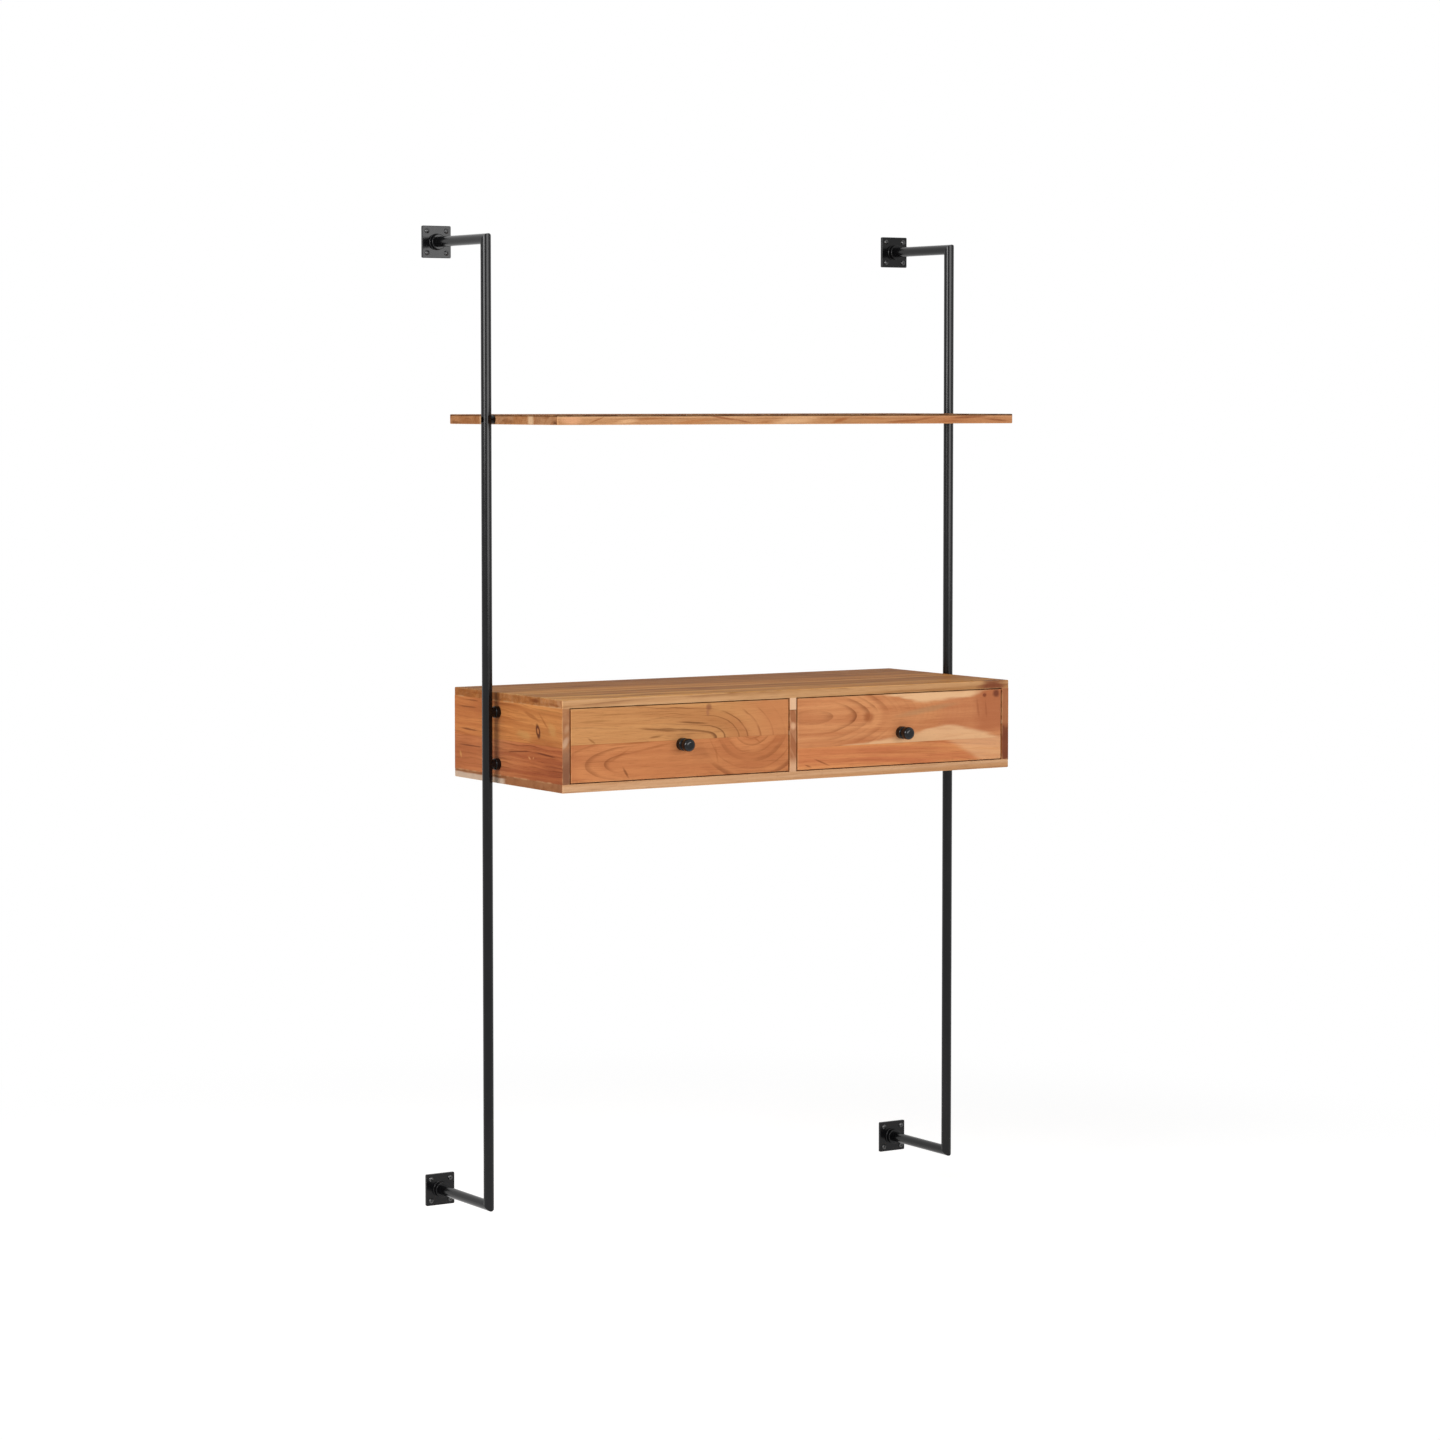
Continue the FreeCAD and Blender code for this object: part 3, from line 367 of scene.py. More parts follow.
# How each board was sawn: the seed of its noise, the eye that its growth lines turn about, their spacing and
# waviness, how strongly lines, veins, patches and bands show, and its tints from pale to the dark lines.
TOP_CUT = {
    "seed": 1.0, "ring": 6.0, "spread": 120.0, "depth": 40.0, "lines": 0.75, "veins": 0.7, "patch": 0.8,
    "pale": "deb080", "rich": "bd8a57", "deep": "a0703f", "line": "7a4c28",
}
BOTTOM_CUT = {
    "seed": 12.0, "ring": 6.5, "spread": 110.0, "depth": 40.0, "lines": 0.45, "veins": 0.35,
    "pale": "efc196", "rich": "d7a273", "deep": "be8556", "line": "83502e",
}
SHELF_CUT = {
    "seed": 13.0, "ring": 6.5, "spread": 110.0, "depth": 40.0, "lines": 0.5, "veins": 0.5, "sapwood": 0.75,
    "pale": "eebb8c", "rich": "d29868", "deep": "b97a4c", "line": "7a4524",
}
SIDE_CUT = {
    "seed": 14.0, "ring": 5.5, "spread": 110.0, "depth": 40.0, "lines": 0.6, "veins": 0.6, "patch": 0.6,
    "pale": "cb8c58", "rich": "ac6a3d", "deep": "965530", "line": "61301a",
}
LEFT_FRONT_UPPER = {
    "seed": 2.0, "eye": (-150.0, -26.0, -362.0, 0.65, 1), "ring": 3.6, "opening": 0.66, "lean": -0.05,
    "drift": 5.0, "ripple": 7.0, "even": 0.75, "fine": 0.72,
    "lines": 0.9, "veins": 0.3, "patch": 0.4, "band": 0.8,
    "pale": "bf8955", "rich": "ad7344", "deep": "9c5f37", "line": "5c331b",
}
LEFT_FRONT_LOWER = {
    "seed": 3.0, "eye": (-285.0, -50.0, -366.0, 0.31, -1), "far_eye": (-75.0, -4.0, -366.0, 0.83, 0),
    "turn": (-270.0, -150.0), "ring": 6.5, "opening": 0.8, "drift": 8.0, "ripple": 5.0, "even": 0.35,
    "fine": 0.6, "lines": 0.62, "veins": 0.25, "patch": 0.5, "band": 0.75,
    "pale": "bd7a4b", "rich": "a9653c", "deep": "995533", "line": "693419",
}
RIGHT_FRONT_UPPER = {
    "seed": 4.0, "eye": (0.0, 5.0, -379.6, 0.0, 1), "ring": 8.0, "bow": (36.8, 0.000216), "drift": 9.0,
    "ripple": 5.0, "even": 0.6, "fine": 0.4, "lines": 0.85, "veins": 0.25, "patch": 0.5, "band": 1.0,
    "pale": "c98a5a", "rich": "b47147", "deep": "a5603a", "line": "733c20",
}
RIGHT_FRONT_LOWER = {
    "seed": 5.0, "eye": (40.0, -92.0, -366.0, 0.12, 1), "ring": 5.0, "drift": 8.0, "ripple": 3.0,
    "lines": 0.5, "veins": 0.3, "patch": 0.5,
    "pale": "ca8552", "rich": "b86d44", "deep": "a85b38", "line": "783a1d",
}
LEFT_SIDE_UPPER = {
    "seed": 6.0, "eye": (0.0, -70.0, -380.0, 0.0, 1), "ring": 5.0, "lean": 0.05, "drift": 26.0,
    "ripple": 9.0, "lines": 0.55, "veins": 0.45, "patch": 0.7,
    "pale": "c58047", "rich": "a66132", "deep": "904d26", "line": "562910",
}
LEFT_SIDE_LOWER = {
    "seed": 7.0, "eye": (0.0, -120.0, -380.0, 0.0, 1), "ring": 5.0, "lean": 0.01, "drift": 24.0,
    "ripple": 9.0, "lines": 0.6, "veins": 0.45, "patch": 0.7,
    "pale": "bd774a", "rich": "a05b38", "deep": "8b492c", "line": "572711",
}


def desk_top_board():
    wire, at, (l, w, t) = board_wires("desk_top", "xyz")
    tones = ("fff8ee", "dccab4", "f4e6d2", "d2bea4", "c9b49c")
    colour, line, fibre = glued_staves(wire, at, "desk_top", "xyz", TOP_CUT, tones)
    light = l.rise(60.0, -320.0) * w.rise(-320.0, -352.0)
    colour = blend(light * 0.12, colour, tint("e8bf96"))
    ragged = (cloud(at["spot"], (60.0, 14.0, 10.0), 51.0, 3.0) - 0.5) * 1.6
    colour = add_marks(colour, l, w, ragged, 1.0, [(388.0, -350.0, 46.0, 12.0, 10.0, "6e3420", 0.85)])
    ends = end_grain(wire, "x")
    # Painted shade: upward faces are darkened and tinted yellower, standing in for the dimmer light that
    # falls on the top.
    top_shade = facing(wire, "z").rise(0.5, 0.9)
    warm = blend(l.rise(-380.0, 380.0), tint("fff2b8"), tint("f6e2a0"))
    colour = blend(top_shade * 0.9, colour, warm, "MULTIPLY")
    colour = add_marks(colour, w, t, ragged * 0.4, ends, [
        (-271.0, 44.0, 19.0, 4.0, 0.0, "4e240e", 0.8), (-330.0, 41.0, 26.0, 3.0, 4.0, "6a3216", 0.5),
        (-90.0, 45.0, 40.0, 2.0, 0.0, "6a3216", 0.5)])
    close_board(wire, at, "desk_top", "x", colour, line, fibre, end_tone="773a13", end_pale="96511d")


def desk_bottom_board():
    wire, at, (_, w, t) = board_wires("desk_bottom", "xyz")
    tones = ("ffffff", "f4ead8", "fff4e8", "fbeee0", "ffffff")
    colour, line, fibre = glued_staves(wire, at, "desk_bottom", "xyz", BOTTOM_CUT, tones)
    ragged = (cloud(at["spot"], (90.0, 30.0, 10.0), 52.0) - 0.5) * 30.0
    ends = end_grain(wire, "x")
    sapwood = (w + ragged).rise(-190.0, -168.0) * (t + ragged * 0.12).rise(-79.5, -82.5)
    colour = blend(sapwood * 0.6, colour, tint("e6c6a0"))
    colour = blend(sapwood * ends, colour, tint("fbe9d2"))
    colour = blend((1.0 - sapwood) * ends * 0.85, colour, tint("7e4628"))
    close_board(wire, at, "desk_bottom", "x", colour, line, fibre, end_tone="7a4a2b", end_pale="93623f")


def shelf_board():
    wire, at, (l, w, t) = board_wires("wall_shelf", "xyz")
    tones = ("ffffff", "f4e4d0", "ffffff", "f0dcc6", "fff0e0")
    colour, line, fibre = glued_staves(wire, at, "wall_shelf", "xyz", SHELF_CUT, tones)
    ragged = (cloud(at["spot"], (50.0, 14.0, 6.0), 54.0, 3.0) - 0.5) * 1.8
    front = w.rise(-340.0, -352.0)
    colour = blend(l.rise(120.0, 280.0) * front * 0.3, colour, tint("b5714a"))
    colour = add_marks(colour, l, t, ragged * 0.5, front, [
        (-393.0, 467.0, 24.0, 10.0, 0.0, "dca37c", 0.6), (-352.0, 467.0, 19.0, 1.8, 20.0, "8a5028", 0.6),
        (-258.0, 469.0, 44.0, 2.6, 3.0, "96592f", 0.5), (-300.0, 465.0, 30.0, 5.0, 8.0, "e2b488", 0.5),
        (-180.0, 465.0, 40.0, 3.0, 6.0, "a8683a", 0.5), (-128.0, 470.0, 34.0, 2.2, -8.0, "844626", 0.65),
        (-92.0, 465.0, 26.0, 2.0, -9.0, "844626", 0.6), (-45.0, 464.0, 36.0, 2.6, 4.0, "96592f", 0.5),
        (6.0, 467.0, 56.0, 8.0, 4.0, "eec295", 0.4), (88.0, 466.0, 24.0, 4.0, 14.0, "96542a", 0.65),
        (150.0, 469.0, 44.0, 3.0, -3.0, "a8683a", 0.5), (205.0, 464.0, 40.0, 2.6, 3.0, "8a4c2a", 0.6),
        (248.0, 468.0, 34.0, 3.0, 7.0, "8a4c2a", 0.5), (300.0, 464.0, 40.0, 3.0, 2.0, "9a5a36", 0.5),
        (334.0, 470.0, 44.0, 2.6, 2.0, "7a3f22", 0.65), (384.0, 466.0, 30.0, 2.4, -4.0, "7a3f22", 0.6)])
    ends = end_grain(wire, "x")
    colour = blend(ends * 0.55, colour, tint("7c4a2a"))
    colour = add_marks(colour, w, t, ragged * 0.2, ends, [
        (-274.0, 467.0, 12.0, 30.0, 0.0, "ecc9a0", 0.75), (-119.0, 467.0, 5.0, 30.0, 0.0, "ecc9a0", 0.6),
        (-347.0, 461.0, 9.0, 7.0, 0.0, "4a2412", 0.75), (-40.0, 462.0, 22.0, 4.0, 4.0, "54290f", 0.6),
        (-322.0, 472.0, 20.0, 4.0, -6.0, "6a3818", 0.5), (-205.0, 465.0, 26.0, 4.0, 5.0, "6a3818", 0.4)])
    # Painted shade: the upward face is darkened, standing in for the dimmer light that falls on the top.
    top_shade = facing(wire, "z").rise(0.5, 0.9)
    colour = blend(top_shade * 0.8, colour, tint("b8966e"), "MULTIPLY")
    # Painted shade: a dark line along the top arris of the front and ends, where the top face turns away from
    # the light.
    colour = blend(t.rise(471.6, 473.4) * (front + ends) * 0.92, colour, tint("3a1f10"))
    close_board(wire, at, "wall_shelf", "x", colour, line, fibre,
                end_tone="5c3219", end_pale="966642", end_share=0.3, gloss=0.02)


def plain_side(node, seed):
    wire, at, _ = board_wires(node, "yzx")
    colour, line, fibre = glued_staves(wire, at, node, "yzx", dict(SIDE_CUT, seed=seed), ("f0dccc", "ffffff"))
    return wire, at, colour, line, fibre


def desk_right_side():
    wire, at, colour, line, fibre = plain_side("desk_right_side", 14.0)
    ends = end_grain(wire, "y")
    lower = (at["z"] + (cloud(at["spot"], (8.0, 8.0, 14.0), 53.0) - 0.5) * 20.0).rise(-12.0, -26.0)
    colour = blend(ends * 0.8, colour, tint("9c6344"))
    colour = blend(lower * ends * 0.9, colour, tint("5a281c"))
    close_board(wire, at, "desk_right_side", "y", colour, line, fibre,
                end_tone="8a5030", end_pale="9e603c", end_share=0.25)


def desk_divider():
    wire, at, colour, line, fibre = plain_side("desk_divider", 15.0)
    ends = end_grain(wire, "y")
    slope = at["z"] + at["x"] * 1.8
    fleck = wave(slope * 0.045, 3.0, 2.0).rise(0.5, 0.62) * ends
    colour = blend(ends * 0.85, colour, tint("925c3e"))
    colour = blend(fleck * 0.3, colour, tint("c89672"))
    colour = add_marks(colour, at["x"], at["z"], 0.0, ends, [
        (0.0, -6.0, 7.0, 8.0, 20.0, "e0b48e", 0.7), (0.0, -76.0, 30.0, 24.0, 0.0, "d2a884", 0.9)])
    lap = at["z"].rise(18.6, 19.0) * ends
    colour = blend(lap * 0.95, colour, tint("e4be9a"))
    colour = blend(abs(at["z"] - 18.6).rise(0.9, 0.3) * ends * 0.7, colour, tint("4a2412"))
    close_board(wire, at, "desk_divider", "y", colour, line, fibre,
                end_tone="9c6440", end_pale="b17a54", end_share=0.25)


def desk_left_side():
    wire, at, (l, w, _) = board_wires("desk_left_side", "yzx")
    colour, line, fibre, over = paired_staves(wire, at, "yzx", LEFT_SIDE_UPPER, LEFT_SIDE_LOWER, -22.0)
    ragged = (cloud(at["spot"], (16.0, 30.0, 12.0), 41.0) - 0.5) * 14.0
    golden = (l + ragged * 2.0).rise(-150.0, -300.0) * (w + ragged).rise(-24.0, -8.0)
    colour = blend(golden * 0.4, colour, tint("b97d45"))
    ruddy = (l + ragged * 2.0).rise(-150.0, -90.0)
    colour = blend(ruddy * 0.4, colour, tint("bc7040"))
    deeper = (l + ragged * 2.0).rise(-150.0, -280.0) * (1.0 - over)
    colour = blend(deeper * 0.6, colour, tint("d8b8a0"), "MULTIPLY")
    colour = add_marks(colour, l, w, ragged * 0.06, 1.0, [
        (-221.0, -36.5, 48.0, 1.6, -4.5, "512310", 0.7), (-308.0, -36.0, 44.0, 1.6, 4.1, "512310", 0.7),
        (-62.0, 22.0, 42.0, 1.7, 0.0, "512310", 0.6), (-76.0, 33.0, 28.0, 1.6, 0.0, "512310", 0.5),
        (-71.0, -13.0, 48.0, 1.8, 1.5, "512310", 0.65), (-71.0, -38.0, 48.0, 1.8, 0.0, "512310", 0.65),
        (-40.0, -54.0, 8.0, 4.0, 60.0, "cf9a58", 0.4), (-256.0, -44.0, 6.0, 2.6, 20.0, "d89a62", 0.45),
        (-268.0, -43.0, 4.0, 2.4, -30.0, "d89a62", 0.4),
        (-240.0, -10.0, 30.0, 9.0, 8.0, "b98a50", 0.5), (-325.0, 2.0, 22.0, 12.0, 40.0, "b98a50", 0.45),
        (-262.0, 20.0, 34.0, 4.0, 14.0, "84461f", 0.5), (-300.0, 14.0, 24.0, 3.0, 38.0, "84461f", 0.5)])
    knot = oval(l, w, (-282.0, -1.0), (4.6, 8.6), -22.0) + ragged * 0.05
    rim = knot.rise(0.35, 0.8) * knot.rise(1.7, 1.0)
    colour = blend(knot.rise(0.9, 0.4) * 0.5, colour, tint("a8663c"))
    colour = blend(rim * 0.9, colour, tint("4c2010"))
    ends = end_grain(wire, "y")
    colour = blend(ends * 0.6, colour, tint("8c5a3c"))
    colour = add_marks(colour, at["x"], w, ragged * 0.03, ends, [
        (-407.0, -14.0, 6.0, 14.0, -24.0, "d8b698", 0.6), (-405.0, 6.0, 6.0, 10.0, -24.0, "c69c78", 0.5)])
    colour = blend((w + ragged * 0.4).rise(-20.0, -33.0) * ends * 0.75, colour, tint("623628"))
    close_board(wire, at, "desk_left_side", "y", colour, line, fibre,
                end_tone="8e664a", end_pale="a8805f", end_share=0.4)


def left_drawer_front():
    wire, at, (l, w, _) = board_wires("left_drawer_front", "xzy")
    ragged = (cloud(at["spot"], (40.0, 40.0, 8.0), 21.0) - 0.5) * 24.0
    right_end = (l + ragged).rise(-140.0, -30.0)
    about_heart = l.rise(-300.0, -180.0) * 0.75 + 0.25
    turned_up = l.rise(-165.0, -130.0) * (w - l * 0.08 + ragged * 0.3).rise(22.0, 36.0)
    upper = dict(LEFT_FRONT_UPPER, where=about_heart * (1.0 - turned_up) * (1.0 - l.rise(-60.0, -20.0) * 0.6))
    plain_middle = l.rise(-325.0, -262.0) * l.rise(-120.0, -180.0)
    lower = dict(LEFT_FRONT_LOWER, where=1.0 - plain_middle)
    colour, line, fibre, over = paired_staves(wire, at, "xzy", upper, lower, -18.5)
    colour = blend(right_end * over * 0.6, colour, tint("b97348"))
    colour = add_marks(colour, l, w, ragged * 0.03, 1.0, [
        (-154.0, 30.0, 7.0, 7.0, 0.0, "74402f", 0.6), (-156.0, 20.0, 3.5, 7.0, 10.0, "8a5440", 0.45),
        (-302.0, -64.0, 13.0, 2.6, -59.0, "66351a", 0.65), (-362.0, -13.0, 11.0, 2.2, -35.0, "7a4824", 0.5),
        (-290.0, -20.0, 56.0, 2.2, 1.5, "8a5028", 0.5), (-255.0, -28.0, 46.0, 2.4, 9.0, "8a4c28", 0.4),
        (-312.0, -37.0, 30.0, 2.4, 28.0, "8a4c28", 0.4),
        (-185.0, 7.0, 37.0, 2.0, -4.9, "62391d", 0.7), (-245.0, -1.5, 49.0, 2.4, -5.5, "6a3f20", 0.65),
        (-249.0, -12.0, 17.0, 2.2, 5.7, "6a3f20", 0.55), (-360.0, 16.0, 40.0, 2.0, 1.0, "8a5a30", 0.45),
        (-330.0, 25.0, 60.0, 2.0, 0.5, "8a5a30", 0.35), (-40.0, -30.0, 30.0, 5.0, 14.0, "9a5630", 0.4),
        (-66.0, -25.0, 9.0, 2.0, -35.0, "8e4e2a", 0.45), (-140.0, -44.0, 18.0, 2.6, -78.0, "9a5830", 0.4)])
    close_board(wire, at, "left_drawer_front", "x", colour, line, fibre)


def right_drawer_front():
    wire, at, (l, w, _) = board_wires("right_drawer_front", "xzy")
    beyond = l.rise(150.0, 190.0) * 0.85
    under = (w - l * 0.1).rise(-16.0, -34.0) * 0.6
    about_heart = l.rise(40.0, 100.0) * 0.75 + 0.25
    upper = dict(RIGHT_FRONT_UPPER, where=(1.0 - beyond) * (1.0 - under) * about_heart)
    colour, line, fibre, over = paired_staves(wire, at, "xzy", upper, RIGHT_FRONT_LOWER, -41.0)
    ragged = (cloud(at["spot"], (70.0, 20.0, 12.0), 31.0, 3.0) - 0.5) * 14.0
    top_edge = profile(l, 0.0, 410.0, -80.0, 80.0, [
        (0.0, 70.0), (120.0, 44.0), (199.0, 30.0), (233.0, 20.0),
        (268.0, 22.0), (356.0, 28.0), (396.0, 46.0)])
    low_edge = profile(l, 0.0, 410.0, -80.0, 80.0, [
        (0.0, -52.0), (91.0, -41.0), (153.0, -34.0), (239.0, -24.0),
        (283.0, -17.0), (327.0, -20.0), (402.0, -38.0)])
    pale_top = (w - top_edge + ragged).rise(-1.0, 5.0)
    pale_low = (low_edge - w + ragged).rise(-1.0, 6.0) * 0.78
    corner = (l + w * 1.9 + ragged).rise(204.0, 228.0) * (1.0 - over) * 0.52
    sap = (pale_top.most(pale_low) * over).most(corner)
    colour = blend((l + ragged).rise(262.0, 300.0) * over * 0.35, colour, tint("ad6a48"))
    streak = cloud(at["spot"], (70.0, 12.0, 6.0), 33.0, 3.0).rise(0.45, 0.7)
    colour = blend(sap * 0.85, colour, blend(streak * 0.6, tint("dcb286"), tint("c6966a")))
    red = (l + ragged).rise(336.0, 366.0) * (w + ragged).rise(-34.0, -22.0) * over
    colour = blend(red * 0.75, colour, tint("a35f3c"))
    colour = add_marks(colour, l, w, ragged * 0.04, 1.0, [
        (388.0, 30.0, 9.0, 9.0, 40.0, "56241a", 0.75), (365.0, 27.5, 5.0, 4.5, 0.0, "642c1c", 0.75),
        (352.0, 8.0, 3.0, 22.0, 8.0, "8a4a2e", 0.4), (368.0, 6.0, 2.5, 20.0, 6.0, "8a4a2e", 0.4),
        (254.0, 9.0, 76.0, 7.0, 7.9, "a47e58", 0.5), (142.0, 1.0, 13.0, 12.0, 0.0, "904e2a", 0.65),
        (53.0, -65.0, 21.0, 2.0, -22.0, "70391e", 0.6), (28.0, -70.0, 9.0, 1.8, -20.0, "70391e", 0.6),
        (210.0, -56.0, 90.0, 3.0, -2.0, "96502c", 0.4), (110.0, 6.0, 20.0, 6.0, 20.0, "9c5c36", 0.35)])
    close_board(wire, at, "right_drawer_front", "x", colour, line, fibre)


def plain_wood(name, nodes, pale, rich, line, grains):
    """Planed wood for hidden pieces; grains gives the axis that each node's grain runs along."""
    for grain in sorted(set(grains)):
        finish, wire = new_finish(name + "_" + grain)
        at = millimetres(wire)
        order = grain + "xyz".replace(grain, "")
        l, w, t = (at[axis] for axis in order)
        spot = wire.node("ShaderNodeCombineXYZ", {}, {0: l, 1: w, 2: t})
        cut = {"seed": 12.0, "eye": (0.0, 260.0, 340.0, 0.0, 1), "ring": 5.0, "pale": pale, "rich": rich,
               "deep": rich, "line": line, "lines": 0.35, "patch": 0.3}
        colour, lines, fibre = stave(spot, l, w, t, cut)
        ends = end_grain(wire, grain)
        colour = blend(ends * 0.6, colour, tint("c9a27a"), "MULTIPLY")
        close_finish(wire, colour, fibre * 0.15 + lines * 0.05 + 0.5, fibre * 0.4 - lines * 0.3, 0.0001,
                     Specular_IOR_Level=0.35)
        for node, along in zip(nodes, grains):
            if along == grain:
                dress(node, finish)


def black_coat(name, roughness, grain, lift, gloss):
    """Black paint over steel or iron: fine orange peel and faint smears."""
    finish, wire = new_finish(name)
    at = millimetres(wire)
    peel = cloud(at["spot"], (grain, grain, grain), 1.0, 2.0)
    smear = cloud(at["spot"], (30.0, 30.0, 60.0), 2.0, 3.0)
    colour = blend(smear.rise(0.35, 0.75), tint("070708"), tint("0d0d0f"))
    rough = smear * 0.1 + peel * 0.03 + roughness
    close_finish(wire, colour, rough, peel, lift, Specular_IOR_Level=gloss)
    return finish


def bright_metal(name, pale, dark, roughness):
    finish, wire = new_finish(name)
    at = millimetres(wire)
    smear = cloud(at["spot"], (6.0, 6.0, 6.0), 3.0, 3.0)
    colour = blend(smear.rise(0.3, 0.7), tint(dark), tint(pale))
    close_finish(wire, colour, smear * 0.2 + roughness, smear, 0.00003, Metallic=1.0)
    return finish


def dress_boards():
    desk_top_board()
    desk_bottom_board()
    shelf_board()
    desk_right_side()
    desk_divider()
    desk_left_side()
    left_drawer_front()
    right_drawer_front()


def dress_hidden_wood():
    names = [hand + "_drawer_" + piece for hand in ("left", "right")
             for piece in ("left_side", "right_side", "back")]
    plain_wood("drawer_wood", names, pale="d9b98c", rich="c79c68", line="8f6238", grains="yyxyyx")
    runners = [hand + "_bay_" + place + "_runner" for hand in ("left", "right")
               for place in ("inner", "outer")]
    plain_wood("runner_wood", runners, pale="d2ac7c", rich="bd8c58", line="805430", grains="yyyy")
    panels = ["left_drawer_bottom", "right_drawer_bottom", "desk_back_panel"]
    plain_wood("thin_panel", panels, pale="dfb98c", rich="d2a274", line="9c6a40", grains="xxx")
    dowels = ["carcass_dowels", "left_drawer_dowels", "right_drawer_dowels"]
    plain_wood("dowel_wood", dowels, pale="dfc496", rich="cfae78", line="a07c4c", grains="zyy")


def dress_metal():
    steel = black_coat("black_steel", roughness=0.09, grain=0.9, lift=0.000004, gloss=0.25)
    iron = black_coat("black_iron", roughness=0.03, grain=1.6, lift=0.000008, gloss=0.3)
    zinc = bright_metal("zinc_steel", pale="c9ccd0", dark="a9acb0", roughness=0.28)
    brass = bright_metal("brass", pale="d8b468", dark="b8903f", roughness=0.3)
    for hand in ("left", "right"):
        for piece in ("upright_tube", "top_arm", "bottom_arm", "desk_standoffs", "shelf_spacer",
                      "top_wall_flange", "bottom_wall_flange"):
            dress(hand + "_" + piece, steel)
        dress(hand + "_drawer_knob", iron)
        dress(hand + "_knob_screw", zinc)
    for node in ("desk_bolts", "desk_washers", "runner_screws", "shelf_bolts"):
        dress(node, zinc)
    dress("shelf_inserts", brass)
    wall_screws(black_coat("black_screws", roughness=0.2, grain=0.9, lift=0.000004, gloss=0.9))


# A round-headed wall screw, in millimetres, and the thickness of the flange that it sits on. Shares of the
# head's radius give the rings of its crown, and each screw's slot is turned a step further than the last.
SCREW = {
    "head": 4.0, "rim": 0.4, "crown": 2.0, "crown_shares": (0.58, 0.7, 0.8, 0.88, 0.95, 0.985, 1.0),
    "shank": 1.95, "shank_length": 3.7, "sides": 48, "sharp_degrees": 40.0, "turn_step": 0.7,
    "slot_length": 1.9, "slot_half": 0.5, "slot_floor": 0.9, "slot_floor_share": 0.7,
    "plate": 4.0, "seat_gap": 0.05,
}


def slot_reach(angle):
    """How far the cross slot of a screw reaches from the middle of its head."""
    aside = abs((angle + math.pi / 4.0) % (math.pi / 2.0) - math.pi / 4.0)
    return min(SCREW["slot_length"] / math.cos(aside), SCREW["slot_half"] / max(math.sin(aside), 0.01))


def crown_height(radius):
    """Height of a screw's rounded head over its seat."""
    return SCREW["rim"] + SCREW["crown"] * math.sqrt(max(0.0, 1.0 - (radius / SCREW["head"]) ** 2))


def screw_rings():
    """A round-headed screw as rings, from the floor of its slot to the end of its shank.

    Each ring is a row of (angle, radius, height), with heights over the screw's seat.
    """
    angles = [2.0 * math.pi * step / SCREW["sides"] for step in range(SCREW["sides"])]
    slot = [(angle, slot_reach(angle)) for angle in angles]
    rings = [[(angle, radius * SCREW["slot_floor_share"], SCREW["slot_floor"]) for angle, radius in slot]]
    rings.append([(angle, radius, crown_height(radius)) for angle, radius in slot])
    for share in SCREW["crown_shares"]:
        radius = SCREW["head"] * share
        rings.append([(angle, radius, crown_height(radius)) for angle in angles])
    below = ((SCREW["head"], 0.0), (SCREW["shank"], 0.0), (SCREW["shank"], -SCREW["shank_length"]))
    for radius, height in below:
        rings.append([(angle, radius, height) for angle in angles])
    return rings


def add_screw(shape, x, z, turn):
    """Sets one screw on the face of its flange, its slot turned by that angle."""
    seat = SCREW["plate"] + SCREW["seat_gap"]
    rows = []
    for ring in screw_rings():
        row = []
        for angle, radius, height in ring:
            aside = radius * math.cos(angle + turn)
            above = radius * math.sin(angle + turn)
            spot = Vector((x + aside, -seat - height, z + above))
            row.append(shape.verts.new(spot / MM))
        rows.append(row)
    for inner, outer in zip(rows, rows[1:]):
        for step in range(SCREW["sides"]):
            after = (step + 1) % SCREW["sides"]
            shape.faces.new((inner[step], inner[after], outer[after], outer[step]))
    shape.faces.new(rows[0])
    shape.faces.new(rows[-1])


def wall_screws(finish):
    """Four screws in each wall flange, at the places that the record gives."""
    shape = bmesh.new()
    turn = 0.0
    for mount in frame["record"]["mounts"]:
        if mount["name"].endswith("flange_holes"):
            x, _, z = (MM * length for length in mount["pos_m"])
            half = mount["dims"]["spacing_x_mm"] / 2.0
            for aside in (-half, half):
                for above in (-half, half):
                    add_screw(shape, x + aside, z + above, turn)
                    turn += SCREW["turn_step"]
    bmesh.ops.recalc_face_normals(shape, faces=shape.faces)
    mesh = bpy.data.meshes.new("wall_screws")
    shape.to_mesh(mesh)
    shape.free()
    mesh.polygons.foreach_set("use_smooth", [True] * len(mesh.polygons))
    mesh.set_sharp_from_angle(angle=math.radians(SCREW["sharp_degrees"]))
    mesh.materials.append(finish)
    screws = bpy.data.objects.new("wall_screws", mesh)
    bpy.context.scene.collection.objects.link(screws)
    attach(screws, "wall_frame")


def photo_camera():
    lens = bpy.data.cameras.new("photo_camera")
    lens.lens = 101.718
    lens.sensor_width = 36.0
    lens.shift_y = -0.06
    camera = bpy.data.objects.new("photo_camera", lens)
    camera.location = (-3.4504, -5.5954, 0.5004)
    look_down = 3.316
    look_right = 32.328
    camera.rotation_euler = (math.radians(90.0 - look_down), 0.0, math.radians(-look_right))
    bpy.context.scene.collection.objects.link(camera)
    bpy.context.scene.camera = camera


def seen_white(wire):
    """1 for rays that show the background: straight from the camera, mirrored or through glass."""
    path = wire.node("ShaderNodeLightPath", {}, {}, "Is Camera Ray")
    return path.most(path.other("Is Glossy Ray")).most(path.other("Is Transmission Ray"))


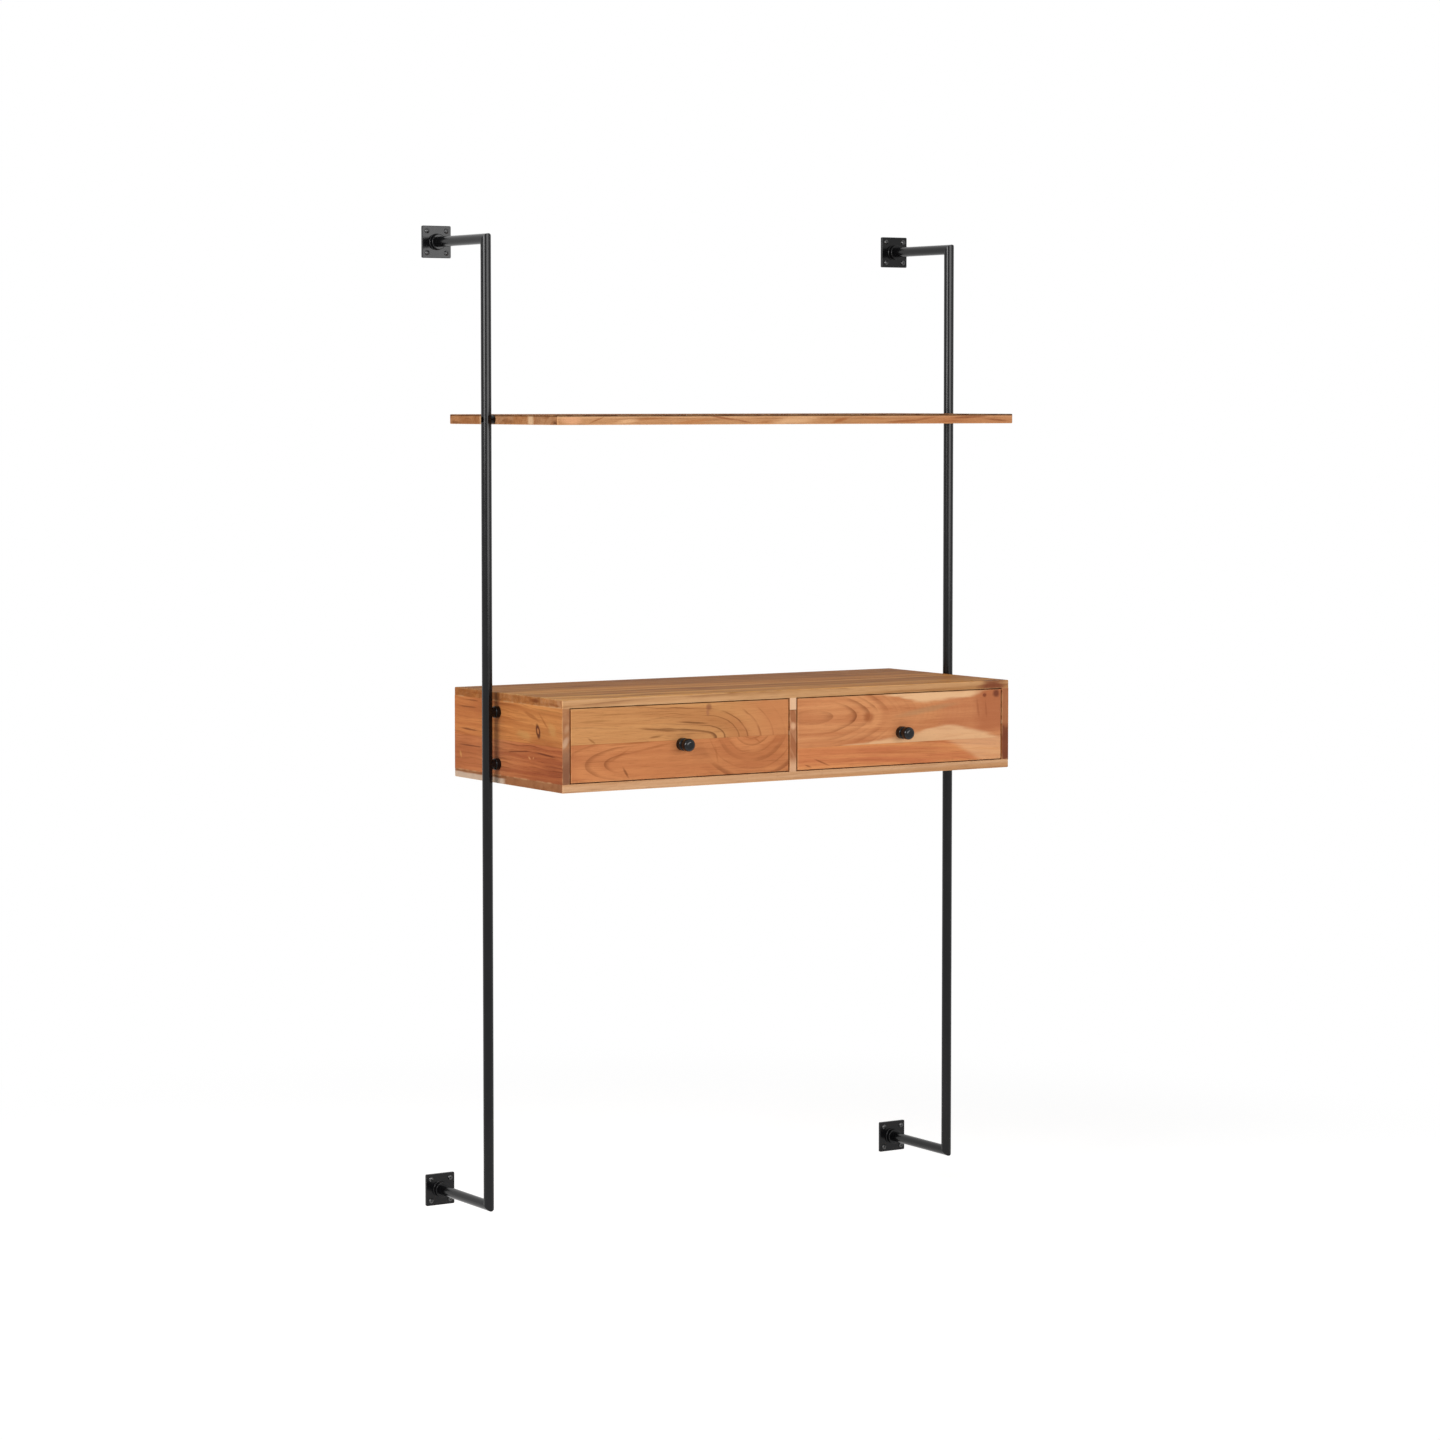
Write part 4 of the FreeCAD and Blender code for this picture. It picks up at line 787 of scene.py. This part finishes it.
def studio_world(fill):
    world = bpy.data.worlds.new("studio")
    world.use_nodes = True
    world.node_tree.nodes.clear()
    wire = Wire(world.node_tree)
    strength = seen_white(wire) * (1.0 - fill) + fill
    white = wire.node("ShaderNodeBackground", {}, {"Color": WHITE, "Strength": strength})
    wire.node("ShaderNodeOutputWorld", {}, {"Surface": white})
    bpy.context.scene.world = world


def soft_box(name, place, aim, width, height, power):
    lamp = bpy.data.lights.new(name, "AREA")
    lamp.shape = "RECTANGLE"
    lamp.size = width
    lamp.size_y = height
    lamp.energy = power
    box = bpy.data.objects.new(name, lamp)
    box.location = place
    box.visible_camera = False
    box.rotation_euler = (Vector(aim) - Vector(place)).to_track_quat("-Z", "Y").to_euler()
    bpy.context.scene.collection.objects.link(box)


def studio_floor(level, radius):
    """A white floor that fades into the white surround and keeps a soft shadow."""
    mesh = bpy.data.meshes.new("floor")
    sides = 64
    rim = [(radius * math.cos(a), radius * math.sin(a), level)
           for a in (2.0 * math.pi * step / sides for step in range(sides))]
    mesh.from_pydata(rim, [], [tuple(range(sides))])
    floor = bpy.data.objects.new("floor", mesh)
    bpy.context.scene.collection.objects.link(floor)
    finish, wire = new_finish("floor_white")
    at = millimetres(wire)
    away = (at["x"] * at["x"] + at["y"] * at["y"]) ** 0.5
    fade = away.rise(800.0, 1800.0) * seen_white(wire)
    paint = wire.node("ShaderNodeBsdfDiffuse", {}, {"Color": (0.9, 0.9, 0.9, 1.0)})
    glow = wire.node("ShaderNodeEmission", {}, {"Color": WHITE, "Strength": seen_white(wire) * 0.5})
    near = wire.node("ShaderNodeAddShader", {}, {0: paint, 1: glow})
    white = wire.node("ShaderNodeEmission", {}, {"Color": WHITE, "Strength": 1.0})
    surface = wire.node("ShaderNodeMixShader", {}, {0: fade, 1: near, 2: white})
    wire.node("ShaderNodeOutputMaterial", {}, {"Surface": surface})
    mesh.materials.append(finish)


dress_boards()
dress_hidden_wood()
dress_metal()
photo_camera()
studio_world(fill=0.34)
soft_box("front_box", place=(0.45, -4.2, 0.75), aim=(0.2, -0.2, 0.3), width=3.5, height=1.5, power=91.0)
soft_box("left_box", place=(-3.15, -1.25, 1.1), aim=(-0.4, -0.2, 0.3), width=1.7, height=1.4, power=72.0)
studio_floor(level=-0.83, radius=30.0)
bpy.context.scene.view_settings.view_transform = "Standard"
